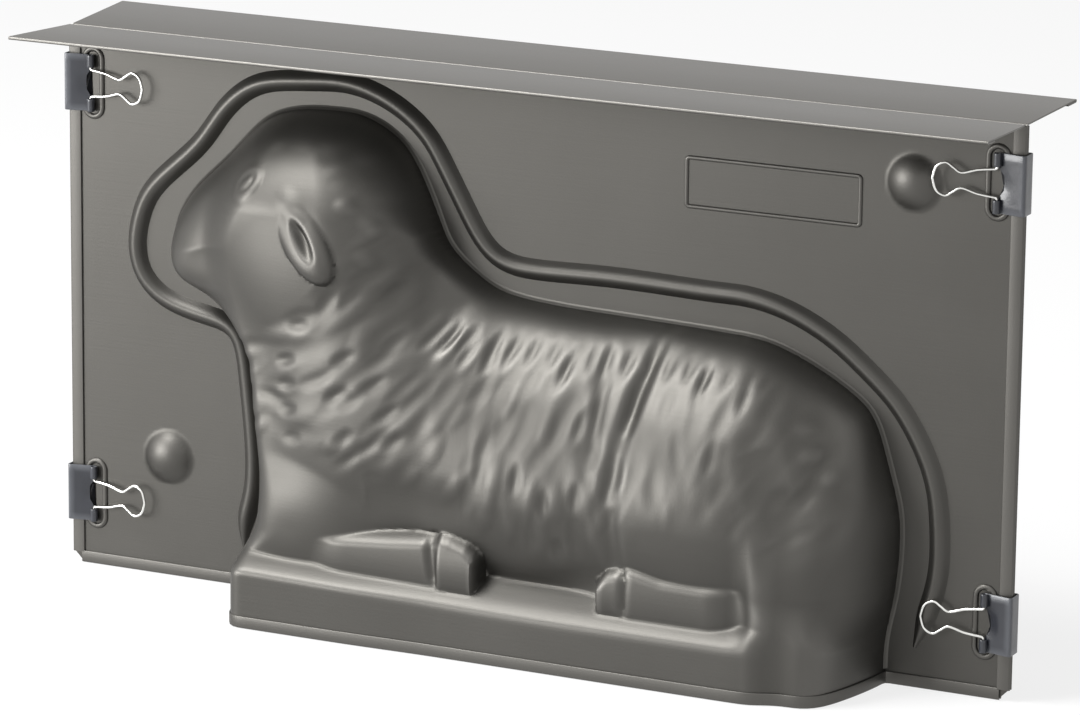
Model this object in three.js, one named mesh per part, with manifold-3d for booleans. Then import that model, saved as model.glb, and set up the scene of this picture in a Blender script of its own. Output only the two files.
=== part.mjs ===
// A lamb cake mould: two pressed sheet halves that meet face to face, held shut by four foldback clips.
// Millimetres, +Z up. The lamb stands upright and looks towards -X, and the front half is on the -Y side.
// The origin is the middle of the bottom rim, on the plane where the two halves meet.
import * as THREE from "three";
import { mergeVertices } from "three/addons/utils/BufferGeometryUtils.js";
import Module from "manifold-3d";

const wasm = await Module();
wasm.setup();

// Driving sizes of the two sheet halves
const PLATE_WIDTH = 337;
const PLATE_HEIGHT = 183;
const SHEET = 0.5;
const PARTING_GAP = 0.3;
const PLINTH_DEPTH = 44;
const PLINTH_HEIGHT = 16.5;
const PLINTH_END_RUN = 11;
const BACK_RUN = 24;
const FORM_BLEND = 7;
const LEG_RADIUS = 6.8;
const LEG_RISE = 8;

// Sizes of the folded edges
const SIDE_HEM = 4.4;
const BOTTOM_HEM = 4;
const HEM_GAP = 0.1;
const FOLD_RUN = 0.35;
const CORNER_CUT = 3.5;
const FLANGE_DEPTH = 36.5;
const FLANGE_TILT = THREE.MathUtils.degToRad(2.5);
const FLANGE_HEM = 6;
const FLANGE_FLARE = 2;

// Sizes of the pressed beads and locating domes
const BEAD_HEIGHT = 3;
const BEAD_HALF_WIDTH = 3.6;
const DOME_RADIUS = 8.9;
const DOME_HEIGHT = 4;
const DOME_PLAY = 0.5;

// Sizes of the foldback clips and their wire levers
const CLIP_LENGTH = 19;
const CLIP_SPINE = 6.7;
const CLIP_SHEET = 0.45;
const CLIP_REACH = 9.6;
const CLIP_SEAT_GAP = 0.3;
const CLIP_NOTCH_RADIUS = 1.9;
const NOTCH_SIDES = 10;
const TUBE_BORE = 1.6;
const TUBE_LENGTH = 4.3;
const TUBE_SWEEP = THREE.MathUtils.degToRad(290);
const WIRE = 0.9;
const WIRE_SIDE_PLAY = 0.35;
const WIRE_BEND = 0.8;
const LEVER_REACH = 20.6;
const LEVER_WAIST = 4.8;
const LEVER_LOOP = 10.4;
const LEVER_TILT = THREE.MathUtils.degToRad(5);

// How finely the sheet is divided
const ROW_STEP = 7.5;
const BEAD_STEP = 9;
const BODY_STEP = 10;
const LEG_STEP = 6.5;
const PLATE_STEP = 30;
const OUTLINE_SAMPLES = 240;
const CURL_STEPS = 7;
const WIRE_SIDES = 6;
const DOME_STEPS = 9;

// Where the lamb's outline crosses the parting plane, as shares of the plate's width and height
const OUTLINE_SHARES = [
  [-0.269, 0], [-0.269, 0.066], [-0.268, 0.12], [-0.26, 0.18], [-0.257, 0.246], [-0.262, 0.328],
  [-0.266, 0.393], [-0.272, 0.454], [-0.286, 0.5], [-0.32, 0.538], [-0.357, 0.565], [-0.375, 0.6],
  [-0.38, 0.634], [-0.375, 0.675], [-0.355, 0.73], [-0.319, 0.793], [-0.283, 0.862], [-0.256, 0.886],
  [-0.225, 0.895], [-0.172, 0.893], [-0.134, 0.858], [-0.113, 0.807], [-0.095, 0.737], [-0.081, 0.678],
  [-0.051, 0.633], [-0.022, 0.606], [0.034, 0.594], [0.118, 0.589], [0.201, 0.584], [0.25, 0.577],
  [0.297, 0.546], [0.338, 0.504], [0.36, 0.466], [0.379, 0.361], [0.387, 0.305], [0.388, 0.238],
  [0.384, 0.16], [0.375, 0.08], [0.374, 0],
];

// The raised bead that runs round the lamb, in the same shares
const BEAD_SHARES = [
  [-0.306, 0.066], [-0.305, 0.12], [-0.296, 0.183], [-0.295, 0.257], [-0.301, 0.372], [-0.307, 0.448],
  [-0.32, 0.484], [-0.358, 0.498], [-0.393, 0.516], [-0.417, 0.552], [-0.425, 0.598], [-0.423, 0.645],
  [-0.407, 0.716], [-0.354, 0.807], [-0.323, 0.883], [-0.288, 0.929], [-0.234, 0.943], [-0.187, 0.946],
  [-0.143, 0.92], [-0.107, 0.872], [-0.083, 0.803], [-0.06, 0.729], [-0.047, 0.692], [-0.03, 0.664],
  [0.001, 0.652], [0.093, 0.655], [0.19, 0.651], [0.231, 0.65], [0.272, 0.633], [0.312, 0.599],
  [0.345, 0.555], [0.386, 0.485], [0.417, 0.383], [0.426, 0.284], [0.424, 0.186], [0.404, 0.071],
];

// The lamb's rounded forms: centre x and z, half width and half height, tilt in turns, and depth.
// Places are shares of the plate's width and height, and depths are shares of the plinth's depth.
const FORM_SHARES = {
  skull: [-0.202, 0.732, 0.113, 0.186, 0, 0.66],
  muzzle: [-0.291, 0.661, 0.096, 0.115, 0.06, 0.48],
  neck: [-0.172, 0.563, 0.125, 0.262, 0, 0.77],
  chest: [-0.154, 0.361, 0.131, 0.317, 0, 0.86],
  barrel: [0.045, 0.317, 0.297, 0.328, 0, 0.91],
  haunch: [0.243, 0.301, 0.166, 0.317, 0, 0.97],
};

// The folded legs and the ear: both ends, the radius as a share of the leg's, and the depth of the foot
const LIMB_SHARES = {
  front_leg: [-0.222, 0.146, -0.045, 0.164, 1, 0.79],
  front_hoof: [-0.02, 0.158, -0.006, 0.162, 0.95, 0.8],
  hind_leg: [0.16, 0.146, 0.27, 0.146, 1, 0.78],
  hind_hoof: [0.122, 0.162, 0.14, 0.162, 0.9, 0.8],
  ear: [-0.211, 0.754, -0.172, 0.65, 0.85, 0.57],
};
const PLINTH_SLOPE_SHARE = 1.1;
const WALL_DEPTH_SHARE = 1.05;
const CENTRE_LINE_SHARE = 0.45;
const BLEND_TOP_SHARE = 2;
const WALL_ROW_SHARES = [0, 0.11, 0.32, 0.72];
const LIMB_ROW_SHARES = [0, 0.6, 0.97, 1.22];
const JITTER_SHARE = 0.002;
const CLOSE_SHARE = 0.55;
const EDGE_CLEAR_SHARE = 0.33;
const MITRE_LIMIT_SHARE = 0.6;
const FAR_SHARE = 300;

// How far along a lever's reach its arms bend, how wide its loop is at the crown, and the wire's steps
const LEVER_REACH_SHARES = { shoulder: 0.3, waist: 0.55, flare: 0.68, widest: 0.8, crown: 0.94 };
const LEVER_CROWN_SHARE = 0.36;
const LEVER_STEPS = 12;

// The places of the domes and clips, as shares of the plate's width and height
const DOME_SHARES = [[-0.391, 0.221], [0.391, 0.881]];
const CLIP_HEIGHT_SHARES = { lower: 0.134, upper: 0.897 };

const SHEET_MID = PARTING_GAP / 2 + SHEET / 2;
const HEM_OFFSET = SHEET + HEM_GAP;
const EDGE_INSET = FOLD_RUN + SHEET / 2;
const SIDE_X = PLATE_WIDTH / 2 - EDGE_INSET;
const BOTTOM_Z = EDGE_INSET;
const TOP_Z = PLATE_HEIGHT - HEM_OFFSET;

const DARK_COATING = { color: 0x4a4a46, roughness: 0.42, metalness: 0.35 };
const CLIP_ENAMEL = { color: 0x14161c, roughness: 0.3, metalness: 0.2 };
const BRIGHT_NICKEL = { color: 0xc9c9c6, roughness: 0.18, metalness: 1 };

const scaled = ([x, z]) => new THREE.Vector2(x * PLATE_WIDTH, z * PLATE_HEIGHT);
const outlineCurve = new THREE.SplineCurve(OUTLINE_SHARES.map(scaled));
const beadCurve = new THREE.SplineCurve(BEAD_SHARES.map(scaled));
const outline = outlineCurve.getSpacedPoints(OUTLINE_SAMPLES);
const beadLine = beadCurve.getSpacedPoints(OUTLINE_SAMPLES);
const domes = DOME_SHARES.map(scaled);

// The shortest distance from a point to a run of short straight pieces.
function distanceToLine(x, z, line) {
  let best = Infinity;
  for (let i = 0; i + 1 < line.length; i += 1) {
    const a = line[i];
    const b = line[i + 1];
    const along = (x - a.x) * (b.x - a.x) + (z - a.y) * (b.y - a.y);
    const length = (b.x - a.x) ** 2 + (b.y - a.y) ** 2;
    const t = THREE.MathUtils.clamp(along / length, 0, 1);
    best = Math.min(best, Math.hypot(x - a.x - t * (b.x - a.x), z - a.y - t * (b.y - a.y)));
  }
  return best;
}

// The distance inside the lamb's outline, which is open along the bottom rim. It is negative outside.
function insideDistance(x, z) {
  let inside = false;
  const below = -PLATE_HEIGHT;
  const first = outline[0];
  const last = outline[outline.length - 1];
  const ring = [new THREE.Vector2(first.x, below), ...outline, new THREE.Vector2(last.x, below)];
  for (let i = 0, j = ring.length - 1; i < ring.length; j = i, i += 1) {
    const crosses = ring[i].y > z !== ring[j].y > z;
    const share = (z - ring[i].y) / (ring[j].y - ring[i].y);
    const beyond = x < ring[i].x + share * (ring[j].x - ring[i].x);
    inside = crosses && beyond ? !inside : inside;
  }
  const distance = distanceToLine(x, z, outline);
  return inside ? distance : -distance;
}

// The lesser or greater of two depths, rounded where they are nearly alike.
function roundedMin(a, b, blend) {
  const h = Math.max(blend - Math.abs(a - b), 0) / blend;
  return Math.min(a, b) - (h * h * blend) / 4;
}
const roundedMax = (a, b, blend) => -roundedMin(-a, -b, blend);

// A half ellipsoid's depth over the parting plane.
function formDepth(x, z, [cx, cz, halfWidth, halfHeight, turns, depth]) {
  const dx = x - cx * PLATE_WIDTH;
  const dz = z - cz * PLATE_HEIGHT;
  const cos = Math.cos(turns * 2 * Math.PI);
  const sin = Math.sin(turns * 2 * Math.PI);
  const u = (dx * cos + dz * sin) / (halfWidth * PLATE_WIDTH);
  const v = (dz * cos - dx * sin) / (halfHeight * PLATE_HEIGHT);
  return depth * PLINTH_DEPTH * Math.sqrt(Math.max(0, 1 - u * u - v * v));
}

// A limb's depth: its foot lies at a given depth, and from there it is domed across and ends in half balls.
function limbDepth(x, z, [ax, az, bx, bz, radiusShare, depth]) {
  const line = [scaled([ax, az]), scaled([bx, bz])];
  const share = distanceToLine(x, z, line) / (radiusShare * LEG_RADIUS);
  const domed = depth * PLINTH_DEPTH + radiusShare * LEG_RISE * Math.sqrt(1 - Math.min(share, 1) ** 2);
  return share < 1 ? domed : 0;
}

// The depth of the sculpted surface, before the wall at the outline cuts it off.
function sculptedDepth(x, z) {
  const forms = Object.values(FORM_SHARES).map((form) => formDepth(x, z, form));
  let depth = forms.reduce((sum, form) => roundedMax(sum, form, FORM_BLEND), 0);
  const shelf = PLINTH_DEPTH - PLINTH_SLOPE_SHARE * (z - PLINTH_HEIGHT);
  depth = roundedMax(depth, roundedMin(PLINTH_DEPTH, shelf, FORM_BLEND / 2), FORM_BLEND / 2);
  const limbs = Object.values(LIMB_SHARES).map((limb) => limbDepth(x, z, limb));
  depth = limbs.reduce((sum, limb) => roundedMax(sum, limb, LEG_RISE / 2), depth);
  return Math.min(depth, PLINTH_DEPTH);
}

// The depth of the cavity: a rounded wall that climbs from the outline, under the sculpted surface.
function lambDepth(x, z) {
  const inside = insideDistance(x, z);
  const above = THREE.MathUtils.smoothstep(z, PLINTH_HEIGHT, BLEND_TOP_SHARE * PLINTH_HEIGHT);
  const run = THREE.MathUtils.lerp(PLINTH_END_RUN, BACK_RUN, above);
  const left = 1 - THREE.MathUtils.clamp(inside, 0, run) / run;
  const wall = WALL_DEPTH_SHARE * PLINTH_DEPTH * Math.sqrt(1 - left * left);
  return Math.max(0, roundedMin(wall, sculptedDepth(x, z), FORM_BLEND));
}

function beadDepth(x, z) {
  const share = Math.min(1, distanceToLine(x, z, beadLine) / BEAD_HALF_WIDTH);
  return BEAD_HEIGHT * (1 - share * share);
}

// A locating dome is a low cap of a ball. The rear half's domes nest in the front half's with some play.
function domeDepth(x, z, play) {
  let depth = 0;
  for (const dome of domes) {
    const share = Math.min(1, Math.hypot(x - dome.x, z - dome.y) / (DOME_RADIUS - play));
    depth = Math.max(depth, (DOME_HEIGHT - play) * (1 - share * share));
  }
  return depth;
}

// The sheet's points. Flat ones lie on the parting plane, and a new point stays clear of those before it.
class PointSet {
  constructor() {
    this.points = [];
  }
  add(x, z, clearance, flat = false) {
    const isClear = this.points.every((p) => Math.hypot(p.x - x, p.z - z) >= clearance);
    if (isClear) {
      this.points.push({ x, z, flat });
    }
  }
}

// Triangles over scattered points, such that no triangle's circle holds another point.
// Each new point opens the triangles whose circles hold it, and joins the edges of that hole.
function delaunay(points) {
  const far = PLATE_WIDTH * FAR_SHARE;
  const count = points.length;
  const all = [...points, { x: -far, z: -far }, { x: far, z: -far }, { x: 0, z: far }];
  const holds = ([a, b, c], p) => {
    const ax = all[a].x - p.x;
    const az = all[a].z - p.z;
    const bx = all[b].x - p.x;
    const bz = all[b].z - p.z;
    const cx = all[c].x - p.x;
    const cz = all[c].z - p.z;
    const aa = ax * ax + az * az;
    const bb = bx * bx + bz * bz;
    const cc = cx * cx + cz * cz;
    return ax * (bz * cc - cz * bb) - az * (bx * cc - cx * bb) + aa * (bx * cz - cx * bz) > 0;
  };
  let triangles = [[count, count + 1, count + 2]];
  for (let i = 0; i < count; i += 1) {
    const rim = new Map();
    const kept = [];
    for (const triangle of triangles) {
      if (!holds(triangle, all[i])) {
        kept.push(triangle);
        continue;
      }
      for (let k = 0; k < 3; k += 1) {
        const from = triangle[k];
        const to = triangle[(k + 1) % 3];
        const shared = rim.delete(`${to} ${from}`);
        if (!shared) {
          rim.set(`${from} ${to}`, [from, to]);
        }
      }
    }
    for (const [from, to] of rim.values()) kept.push([from, to, i]);
    triangles = kept;
  }
  return triangles.filter((triangle) => triangle.every((index) => index < count));
}

// A number from -1 to 1 that differs from point to point, so that no four points lie exactly on one circle.
const scatter = (n) => Math.sin(n * n);

// Evenly spaced numbers from one value to another, with at most the given step between them.
function evenly(from, to, step) {
  const pieces = Math.max(1, Math.round(Math.abs(to - from) / step));
  return Array.from({ length: pieces + 1 }, (_, i) => from + ((to - from) * i) / pieces);
}

// The sheet's edge, anticlockwise as seen from the front, from the bottom left corner.
// Each stretch says how its edge is finished, and the bottom stretch has a point where each wall rises.
function borderStretches() {
  const left = outline[0].x;
  const right = outline[outline.length - 1].x;
  const rises = WALL_ROW_SHARES.map((share) => share * PLINTH_END_RUN);
  const leftRises = rises.map((rise) => left + rise);
  const rightRises = rises.map((rise) => right - rise).reverse();
  const middle = evenly(leftRises[leftRises.length - 1], rightRises[0], LEG_STEP).slice(1, -1);
  const cutX = SIDE_X - (CORNER_CUT - EDGE_INSET);
  const cutZ = BOTTOM_Z + (CORNER_CUT - EDGE_INSET);
  const plateLeft = evenly(-cutX, left, PLATE_STEP).slice(0, -1);
  const plateRight = evenly(right, cutX, PLATE_STEP).slice(1);
  const bottom = [...plateLeft, ...leftRises, ...middle, ...rightRises, ...plateRight];
  const side = evenly(cutZ, TOP_Z, PLATE_STEP);
  const top = evenly(SIDE_X, -SIDE_X, PLATE_STEP);
  const flat = (x) => x <= left || x >= right;
  return [
    { finish: "bottom", points: bottom.map((x) => ({ x, z: BOTTOM_Z, flat: flat(x) })) },
    { finish: "cut", points: [{ x: cutX, z: BOTTOM_Z, flat: true }, { x: SIDE_X, z: cutZ, flat: true }] },
    { finish: "side", points: side.map((z) => ({ x: SIDE_X, z, flat: true })) },
    { finish: "top", points: top.map((x) => ({ x, z: TOP_Z, flat: true })) },
    { finish: "side", points: side.map((z) => ({ x: -SIDE_X, z, flat: true })).reverse() },
    { finish: "cut", points: [{ x: -SIDE_X, z: cutZ, flat: true }, { x: -cutX, z: BOTTOM_Z, flat: true }] },
  ];
}

// Rows along a limb, from its ridge to just outside its edge, with half rings round its two ends.
function addLimbRows(set, [ax, az, bx, bz, radiusShare], wanted) {
  const start = scaled([ax, az]);
  const end = scaled([bx, bz]);
  const radius = radiusShare * LEG_RADIUS;
  const along = end.clone().sub(start).normalize();
  const heading = along.angle();
  const place = (origin, angle, share) => {
    const n = set.points.length + 1;
    const reach = share * radius;
    const x = origin.x + reach * Math.cos(heading + angle) + scatter(n) * LEG_STEP * JITTER_SHARE;
    const z = origin.y + reach * Math.sin(heading + angle) + scatter(n + 1) * LEG_STEP * JITTER_SHARE;
    if (wanted(x, z)) {
      set.add(x, z, radius * (LIMB_ROW_SHARES[3] - LIMB_ROW_SHARES[2]) * CLOSE_SHARE);
    }
  };
  for (const share of [...LIMB_ROW_SHARES].reverse()) {
    for (const t of evenly(0, start.distanceTo(end), LEG_STEP)) {
      const origin = start.clone().addScaledVector(along, t);
      place(origin, Math.PI / 2, share);
      place(origin, -Math.PI / 2, share);
    }
    for (const turn of [-1 / 4, 0, 1 / 4]) {
      place(end, turn * Math.PI, share);
      place(start, Math.PI + turn * Math.PI, share);
    }
  }
}

// Staggered rows over an area, wherever a point is wanted and has room.
function fillArea(set, step, [xFrom, xTo], [zFrom, zTo], wanted) {
  const edge = step * EDGE_CLEAR_SHARE;
  evenly(zFrom, zTo, (step * Math.sqrt(3)) / 2).forEach((z, row) => {
    for (const x of evenly(xFrom, xTo, step)) {
      const n = set.points.length + 1;
      const px = x + (row % 2) * (step / 2) + scatter(n) * step * JITTER_SHARE;
      const pz = z + scatter(n + row) * step * JITTER_SHARE;
      const insideSheet = Math.abs(px) < SIDE_X - edge && pz > BOTTOM_Z + edge && pz < TOP_Z - edge;
      if (insideSheet && wanted(px, pz)) {
        set.add(px, pz, step * CLOSE_SHARE);
      }
    }
  });
}

// All the points that the sheet is divided at, with the border's points first and in order.
function sheetPoints(stretches) {
  const set = new PointSet();
  set.points = stretches.flatMap(({ points }) => points.slice(0, -1));
  const clear = WALL_ROW_SHARES[1] * PLINTH_END_RUN * CLOSE_SHARE;
  const rowCount = Math.round(outlineCurve.getLength() / ROW_STEP);
  for (const share of WALL_ROW_SHARES) {
    for (let i = 1; i < rowCount; i += 1) {
      const index = Math.round((i * OUTLINE_SAMPLES) / rowCount);
      const p = outline[index];
      const tangent = outline[index + 1].clone().sub(outline[index - 1]).normalize();
      const inwards = share * PLINTH_END_RUN;
      const x = p.x + tangent.y * inwards;
      const z = p.y - tangent.x * inwards;
      if (z > BOTTOM_Z + LEG_STEP / 2) {
        set.add(x, z, clear, share === 0);
      }
    }
  }
  const beadRows = [-1, -CENTRE_LINE_SHARE, CENTRE_LINE_SHARE, 1];
  const beadCount = Math.round(beadCurve.getLength() / BEAD_STEP);
  for (const row of beadRows) {
    for (let i = 0; i <= beadCount; i += 1) {
      const index = Math.round((i * OUTLINE_SAMPLES) / beadCount);
      const p = beadLine[index];
      const ahead = beadLine[Math.min(index + 1, OUTLINE_SAMPLES)];
      const behind = beadLine[Math.max(index - 1, 0)];
      const tangent = ahead.clone().sub(behind).normalize();
      const offset = row * BEAD_HALF_WIDTH;
      set.add(p.x + tangent.y * offset, p.y - tangent.x * offset, BEAD_HALF_WIDTH / 4);
    }
  }
  for (const end of [0, OUTLINE_SAMPLES]) {
    const p = beadLine[end];
    set.add(p.x, p.y - BEAD_HALF_WIDTH, BEAD_HALF_WIDTH / 4);
  }
  for (const dome of domes) {
    set.add(dome.x, dome.y, 0);
    for (const share of [1 / 2, 1]) {
      for (let i = 0; i < DOME_STEPS; i += 1) {
        const angle = ((i + share) * 2 * Math.PI) / DOME_STEPS;
        const radius = share * DOME_RADIUS;
        set.add(dome.x + radius * Math.cos(angle), dome.y + radius * Math.sin(angle), 0);
      }
    }
  }
  const wallTop = WALL_ROW_SHARES[WALL_ROW_SHARES.length - 1] * PLINTH_END_RUN;
  const pastWall = (x, z) => insideDistance(x, z) > wallTop;
  for (const limb of Object.values(LIMB_SHARES)) addLimbRows(set, limb, pastWall);
  const left = outline[0].x;
  const right = outline[outline.length - 1].x;
  const legTop = BLEND_TOP_SHARE * PLINTH_HEIGHT + LEG_RADIUS;
  fillArea(set, LEG_STEP, [left, right], [BOTTOM_Z, legTop], pastWall);
  fillArea(set, BODY_STEP, [left, right], [BOTTOM_Z, TOP_Z], pastWall);
  fillArea(set, PLATE_STEP, [-SIDE_X, SIDE_X], [BOTTOM_Z, TOP_Z], (x, z) => insideDistance(x, z) < 0);
  return set.points;
}

// A folded edge's section, from its middle line: how far out and how far past the border each point is.
// Both faces of the sheet follow from it, with sharp corners mitred.
function foldSection(middle) {
  const faces = { outer: [], inner: [] };
  for (let i = 0; i < middle.length; i += 1) {
    const before = middle[Math.max(i - 1, 0)];
    const here = middle[i];
    const after = middle[Math.min(i + 1, middle.length - 1)];
    const into = here.clone().sub(before).normalize();
    const out = after.clone().sub(here).normalize();
    const first = i === 0 ? out : into;
    const second = i === middle.length - 1 ? into : out;
    const direction = first.clone().add(second).normalize();
    const reach = SHEET / 2 / Math.max(direction.dot(first), MITRE_LIMIT_SHARE);
    const side = new THREE.Vector2(direction.y, -direction.x).multiplyScalar(reach);
    faces.outer.push(here.clone().add(side));
    faces.inner.push(here.clone().sub(side));
  }
  return faces;
}

const vector = (x, y) => new THREE.Vector2(x, y);
const flangeRise = FLANGE_DEPTH * Math.tan(FLANGE_TILT);
const underRise = (FLANGE_DEPTH - FLANGE_HEM) * Math.tan(FLANGE_TILT);
const flangeEdge = FLANGE_DEPTH - SHEET;
const flangeTop = HEM_OFFSET - SHEET / 2;
const hemLine = (width) => [
  vector(0, 0),
  vector(0, FOLD_RUN),
  vector(HEM_OFFSET, FOLD_RUN),
  vector(HEM_OFFSET, FOLD_RUN - width + SHEET / 2),
];
const SECTIONS = {
  side: foldSection(hemLine(SIDE_HEM)),
  bottom: foldSection(hemLine(BOTTOM_HEM)),
  top: foldSection([
    vector(0, 0),
    vector(0, flangeTop),
    vector(flangeEdge, flangeTop + flangeRise),
    vector(flangeEdge, flangeTop - HEM_OFFSET + flangeRise),
    vector(FLANGE_DEPTH - FLANGE_HEM, flangeTop - HEM_OFFSET + underRise),
  ]),
};

// Which way each finished stretch of the border points. A side's way is for the right side.
const EDGE_WAYS = {
  bottom: new THREE.Vector3(0, 0, -1),
  side: new THREE.Vector3(1, 0, 0),
  top: new THREE.Vector3(0, 0, 1),
};

// One half of the mould. side is -1 for the front half and 1 for the rear one.
function makeShell(side) {
  const stretches = borderStretches();
  const points = sheetPoints(stretches);
  const faces = delaunay(points);
  const play = side > 0 ? DOME_PLAY : 0;
  const domeSide = side > 0 ? -1 : 1;
  const middle = points.map(({ x, z, flat }) => {
    const depth = flat ? 0 : Math.max(lambDepth(x, z), beadDepth(x, z));
    const dome = flat ? 0 : domeSide * domeDepth(x, z, play);
    return new THREE.Vector3(x, side * (SHEET_MID + depth + dome), z);
  });

  const faceNormals = faces.map(([a, b, c]) => {
    const normal = middle[b].clone().sub(middle[a]).cross(middle[c].clone().sub(middle[a]));
    return normal.multiplyScalar(-side).normalize();
  });
  const sums = points.map(() => new THREE.Vector3());
  faces.forEach((face, i) => {
    for (const index of face) sums[index].add(faceNormals[i]);
  });
  const normals = sums.map((sum, i) => {
    const normal = sum.clone().normalize();
    return points[i].flat ? normal.divideScalar(Math.max(Math.abs(normal.y), MITRE_LIMIT_SHARE)) : normal;
  });

  const away = new THREE.Vector3(0, side, 0);
  const borderCount = stretches.reduce((sum, { points: p }) => sum + p.length - 1, 0);
  for (let i = 0; i < borderCount; i += 1) normals[i].copy(away);
  const bottomCount = stretches[0].points.length;
  for (let i = 1; i < bottomCount - 1; i += 1) {
    const before = middle[i].clone().sub(middle[i - 1]).normalize();
    const after = middle[i + 1].clone().sub(middle[i]).normalize();
    const along = before.clone().add(after).normalize();
    const reach = 1 / Math.max(along.dot(after), MITRE_LIMIT_SHARE);
    normals[i].set(-along.y * side, along.x * side, 0).multiplyScalar(reach);
  }

  const corners = [];
  const indices = [];
  const place = (p) => {
    corners.push(p);
    return corners.length - 1;
  };
  const face = (a, b, c) => indices.push(...(side < 0 ? [a, b, c] : [a, c, b]));
  const outer = middle.map((p, i) => place(p.clone().addScaledVector(normals[i], SHEET / 2)));
  const inner = middle.map((p, i) => place(p.clone().addScaledVector(normals[i], -SHEET / 2)));
  for (const [a, b, c] of faces) {
    face(outer[a], outer[b], outer[c]);
    face(inner[a], inner[c], inner[b]);
  }

  // Each stretch of border gets its fold. A hem's free corners are mitred back along the edge.
  let start = 0;
  for (const { finish, points: stretch } of stretches) {
    const last = stretch.length - 1;
    const chains = stretch.map((p, k) => {
      const index = (start + k) % borderCount;
      const chain = [outer[index], inner[index]];
      const section = SECTIONS[finish];
      if (!section) {
        return chain;
      }
      const past = EDGE_WAYS[finish].clone();
      if (finish === "side") {
        past.multiplyScalar(Math.sign(p.x));
      }
      const along = new THREE.Vector3(0, -1, 0).cross(past);
      const end = (k === 0 ? 1 : 0) - (k === last ? 1 : 0);
      const outwards = finish === "bottom" ? normals[index] : away;
      const build = ({ x: out, y: beyond }) => {
        const mitre = finish === "top" ? (-FLANGE_FLARE * out) / FLANGE_DEPTH : Math.max(0, -beyond);
        const corner = middle[index].clone().addScaledVector(outwards, out);
        return place(corner.addScaledVector(past, beyond).addScaledVector(along, end * mitre));
      };
      const out = section.outer.slice(1).map(build);
      const back = section.inner.slice(1).map(build).reverse();
      return [outer[index], ...out, ...back, inner[index]];
    });
    for (let k = 0; k < last; k += 1) {
      for (let j = 0; j + 1 < chains[k].length; j += 1) {
        face(chains[k + 1][j], chains[k][j], chains[k][j + 1]);
        face(chains[k + 1][j], chains[k][j + 1], chains[k + 1][j + 1]);
      }
    }
    const layers = chains[0].length / 2;
    for (let i = 0; i + 1 < layers; i += 1) {
      const layer = (chain) => [chain[i], chain[i + 1], chain.at(-2 - i), chain.at(-1 - i)];
      const [a, b, c, d] = layer(chains[0]);
      face(b, a, d);
      face(b, d, c);
      const [e, f, g, h] = layer(chains[last]);
      face(e, f, g);
      face(e, g, h);
    }
    start += last;
  }

  const geometry = new THREE.BufferGeometry();
  geometry.setFromPoints(corners);
  geometry.setIndex(indices);
  return geometry;
}

function named(name, geometry, finish) {
  const mesh = new THREE.Mesh(geometry, new THREE.MeshStandardMaterial(finish));
  mesh.name = name;
  return mesh;
}

function toSolid(geometry) {
  const bare = geometry.clone();
  bare.deleteAttribute("normal");
  bare.deleteAttribute("uv");
  const merged = mergeVertices(bare);
  const vertProperties = new Float32Array(merged.attributes.position.array);
  const triVerts = new Uint32Array(merged.index.array);
  return new wasm.Manifold(new wasm.Mesh({ numProp: 3, vertProperties, triVerts }));
}

function toGeometry(solid) {
  const mesh = solid.getMesh();
  const geometry = new THREE.BufferGeometry();
  geometry.setAttribute("position", new THREE.Float32BufferAttribute(mesh.vertProperties, 3));
  geometry.setIndex(new THREE.Uint32BufferAttribute(mesh.triVerts, 1));
  return geometry;
}

// A clip is drawn in its own frame: x runs from the spine's outer face into the mould, y across the jaws.
const LIP_FACE = PARTING_GAP / 2 + SHEET + CLIP_SEAT_GAP;
const CURL_RADIUS = TUBE_BORE / 2 + CLIP_SHEET / 2;
const TUBE_Y = LIP_FACE + CLIP_SHEET / 2 + CURL_RADIUS;
const TUBE_X = CLIP_REACH;

// The jaw's middle line: along the spine, down the leaf and round the tube that the lever turns in.
function jawLine() {
  const spineX = CLIP_SHEET / 2;
  const spineY = CLIP_SPINE / 2 - CLIP_SHEET / 2;
  const line = [vector(spineX, 0), vector(spineX, spineY)];
  for (let i = 0; i <= CURL_STEPS; i += 1) {
    const angle = -Math.PI / 2 + (TUBE_SWEEP * i) / CURL_STEPS;
    line.push(vector(TUBE_X + CURL_RADIUS * Math.cos(angle), TUBE_Y + CURL_RADIUS * Math.sin(angle)));
  }
  return line;
}

// The jaws' closed section: the middle line on both sides of the spine, given the clip's sheet thickness.
function clipSection() {
  const half = jawLine();
  const mirrored = half.slice(1).map((p) => vector(p.x, -p.y)).reverse();
  const line = [...mirrored, ...half.slice(1)];
  const left = [];
  const right = [];
  for (let i = 0; i < line.length; i += 1) {
    const into = line[i].clone().sub(line[Math.max(i - 1, 0)]).normalize();
    const out = line[Math.min(i + 1, line.length - 1)].clone().sub(line[i]).normalize();
    const first = i === 0 ? out : into;
    const second = i === line.length - 1 ? into : out;
    const direction = first.clone().add(second).normalize();
    const reach = CLIP_SHEET / 2 / Math.max(direction.dot(first), MITRE_LIMIT_SHARE);
    const side = vector(-direction.y, direction.x).multiplyScalar(reach);
    left.push(line[i].clone().add(side));
    right.push(line[i].clone().sub(side));
  }
  return new THREE.Shape([...left, ...right.reverse()]);
}

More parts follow.
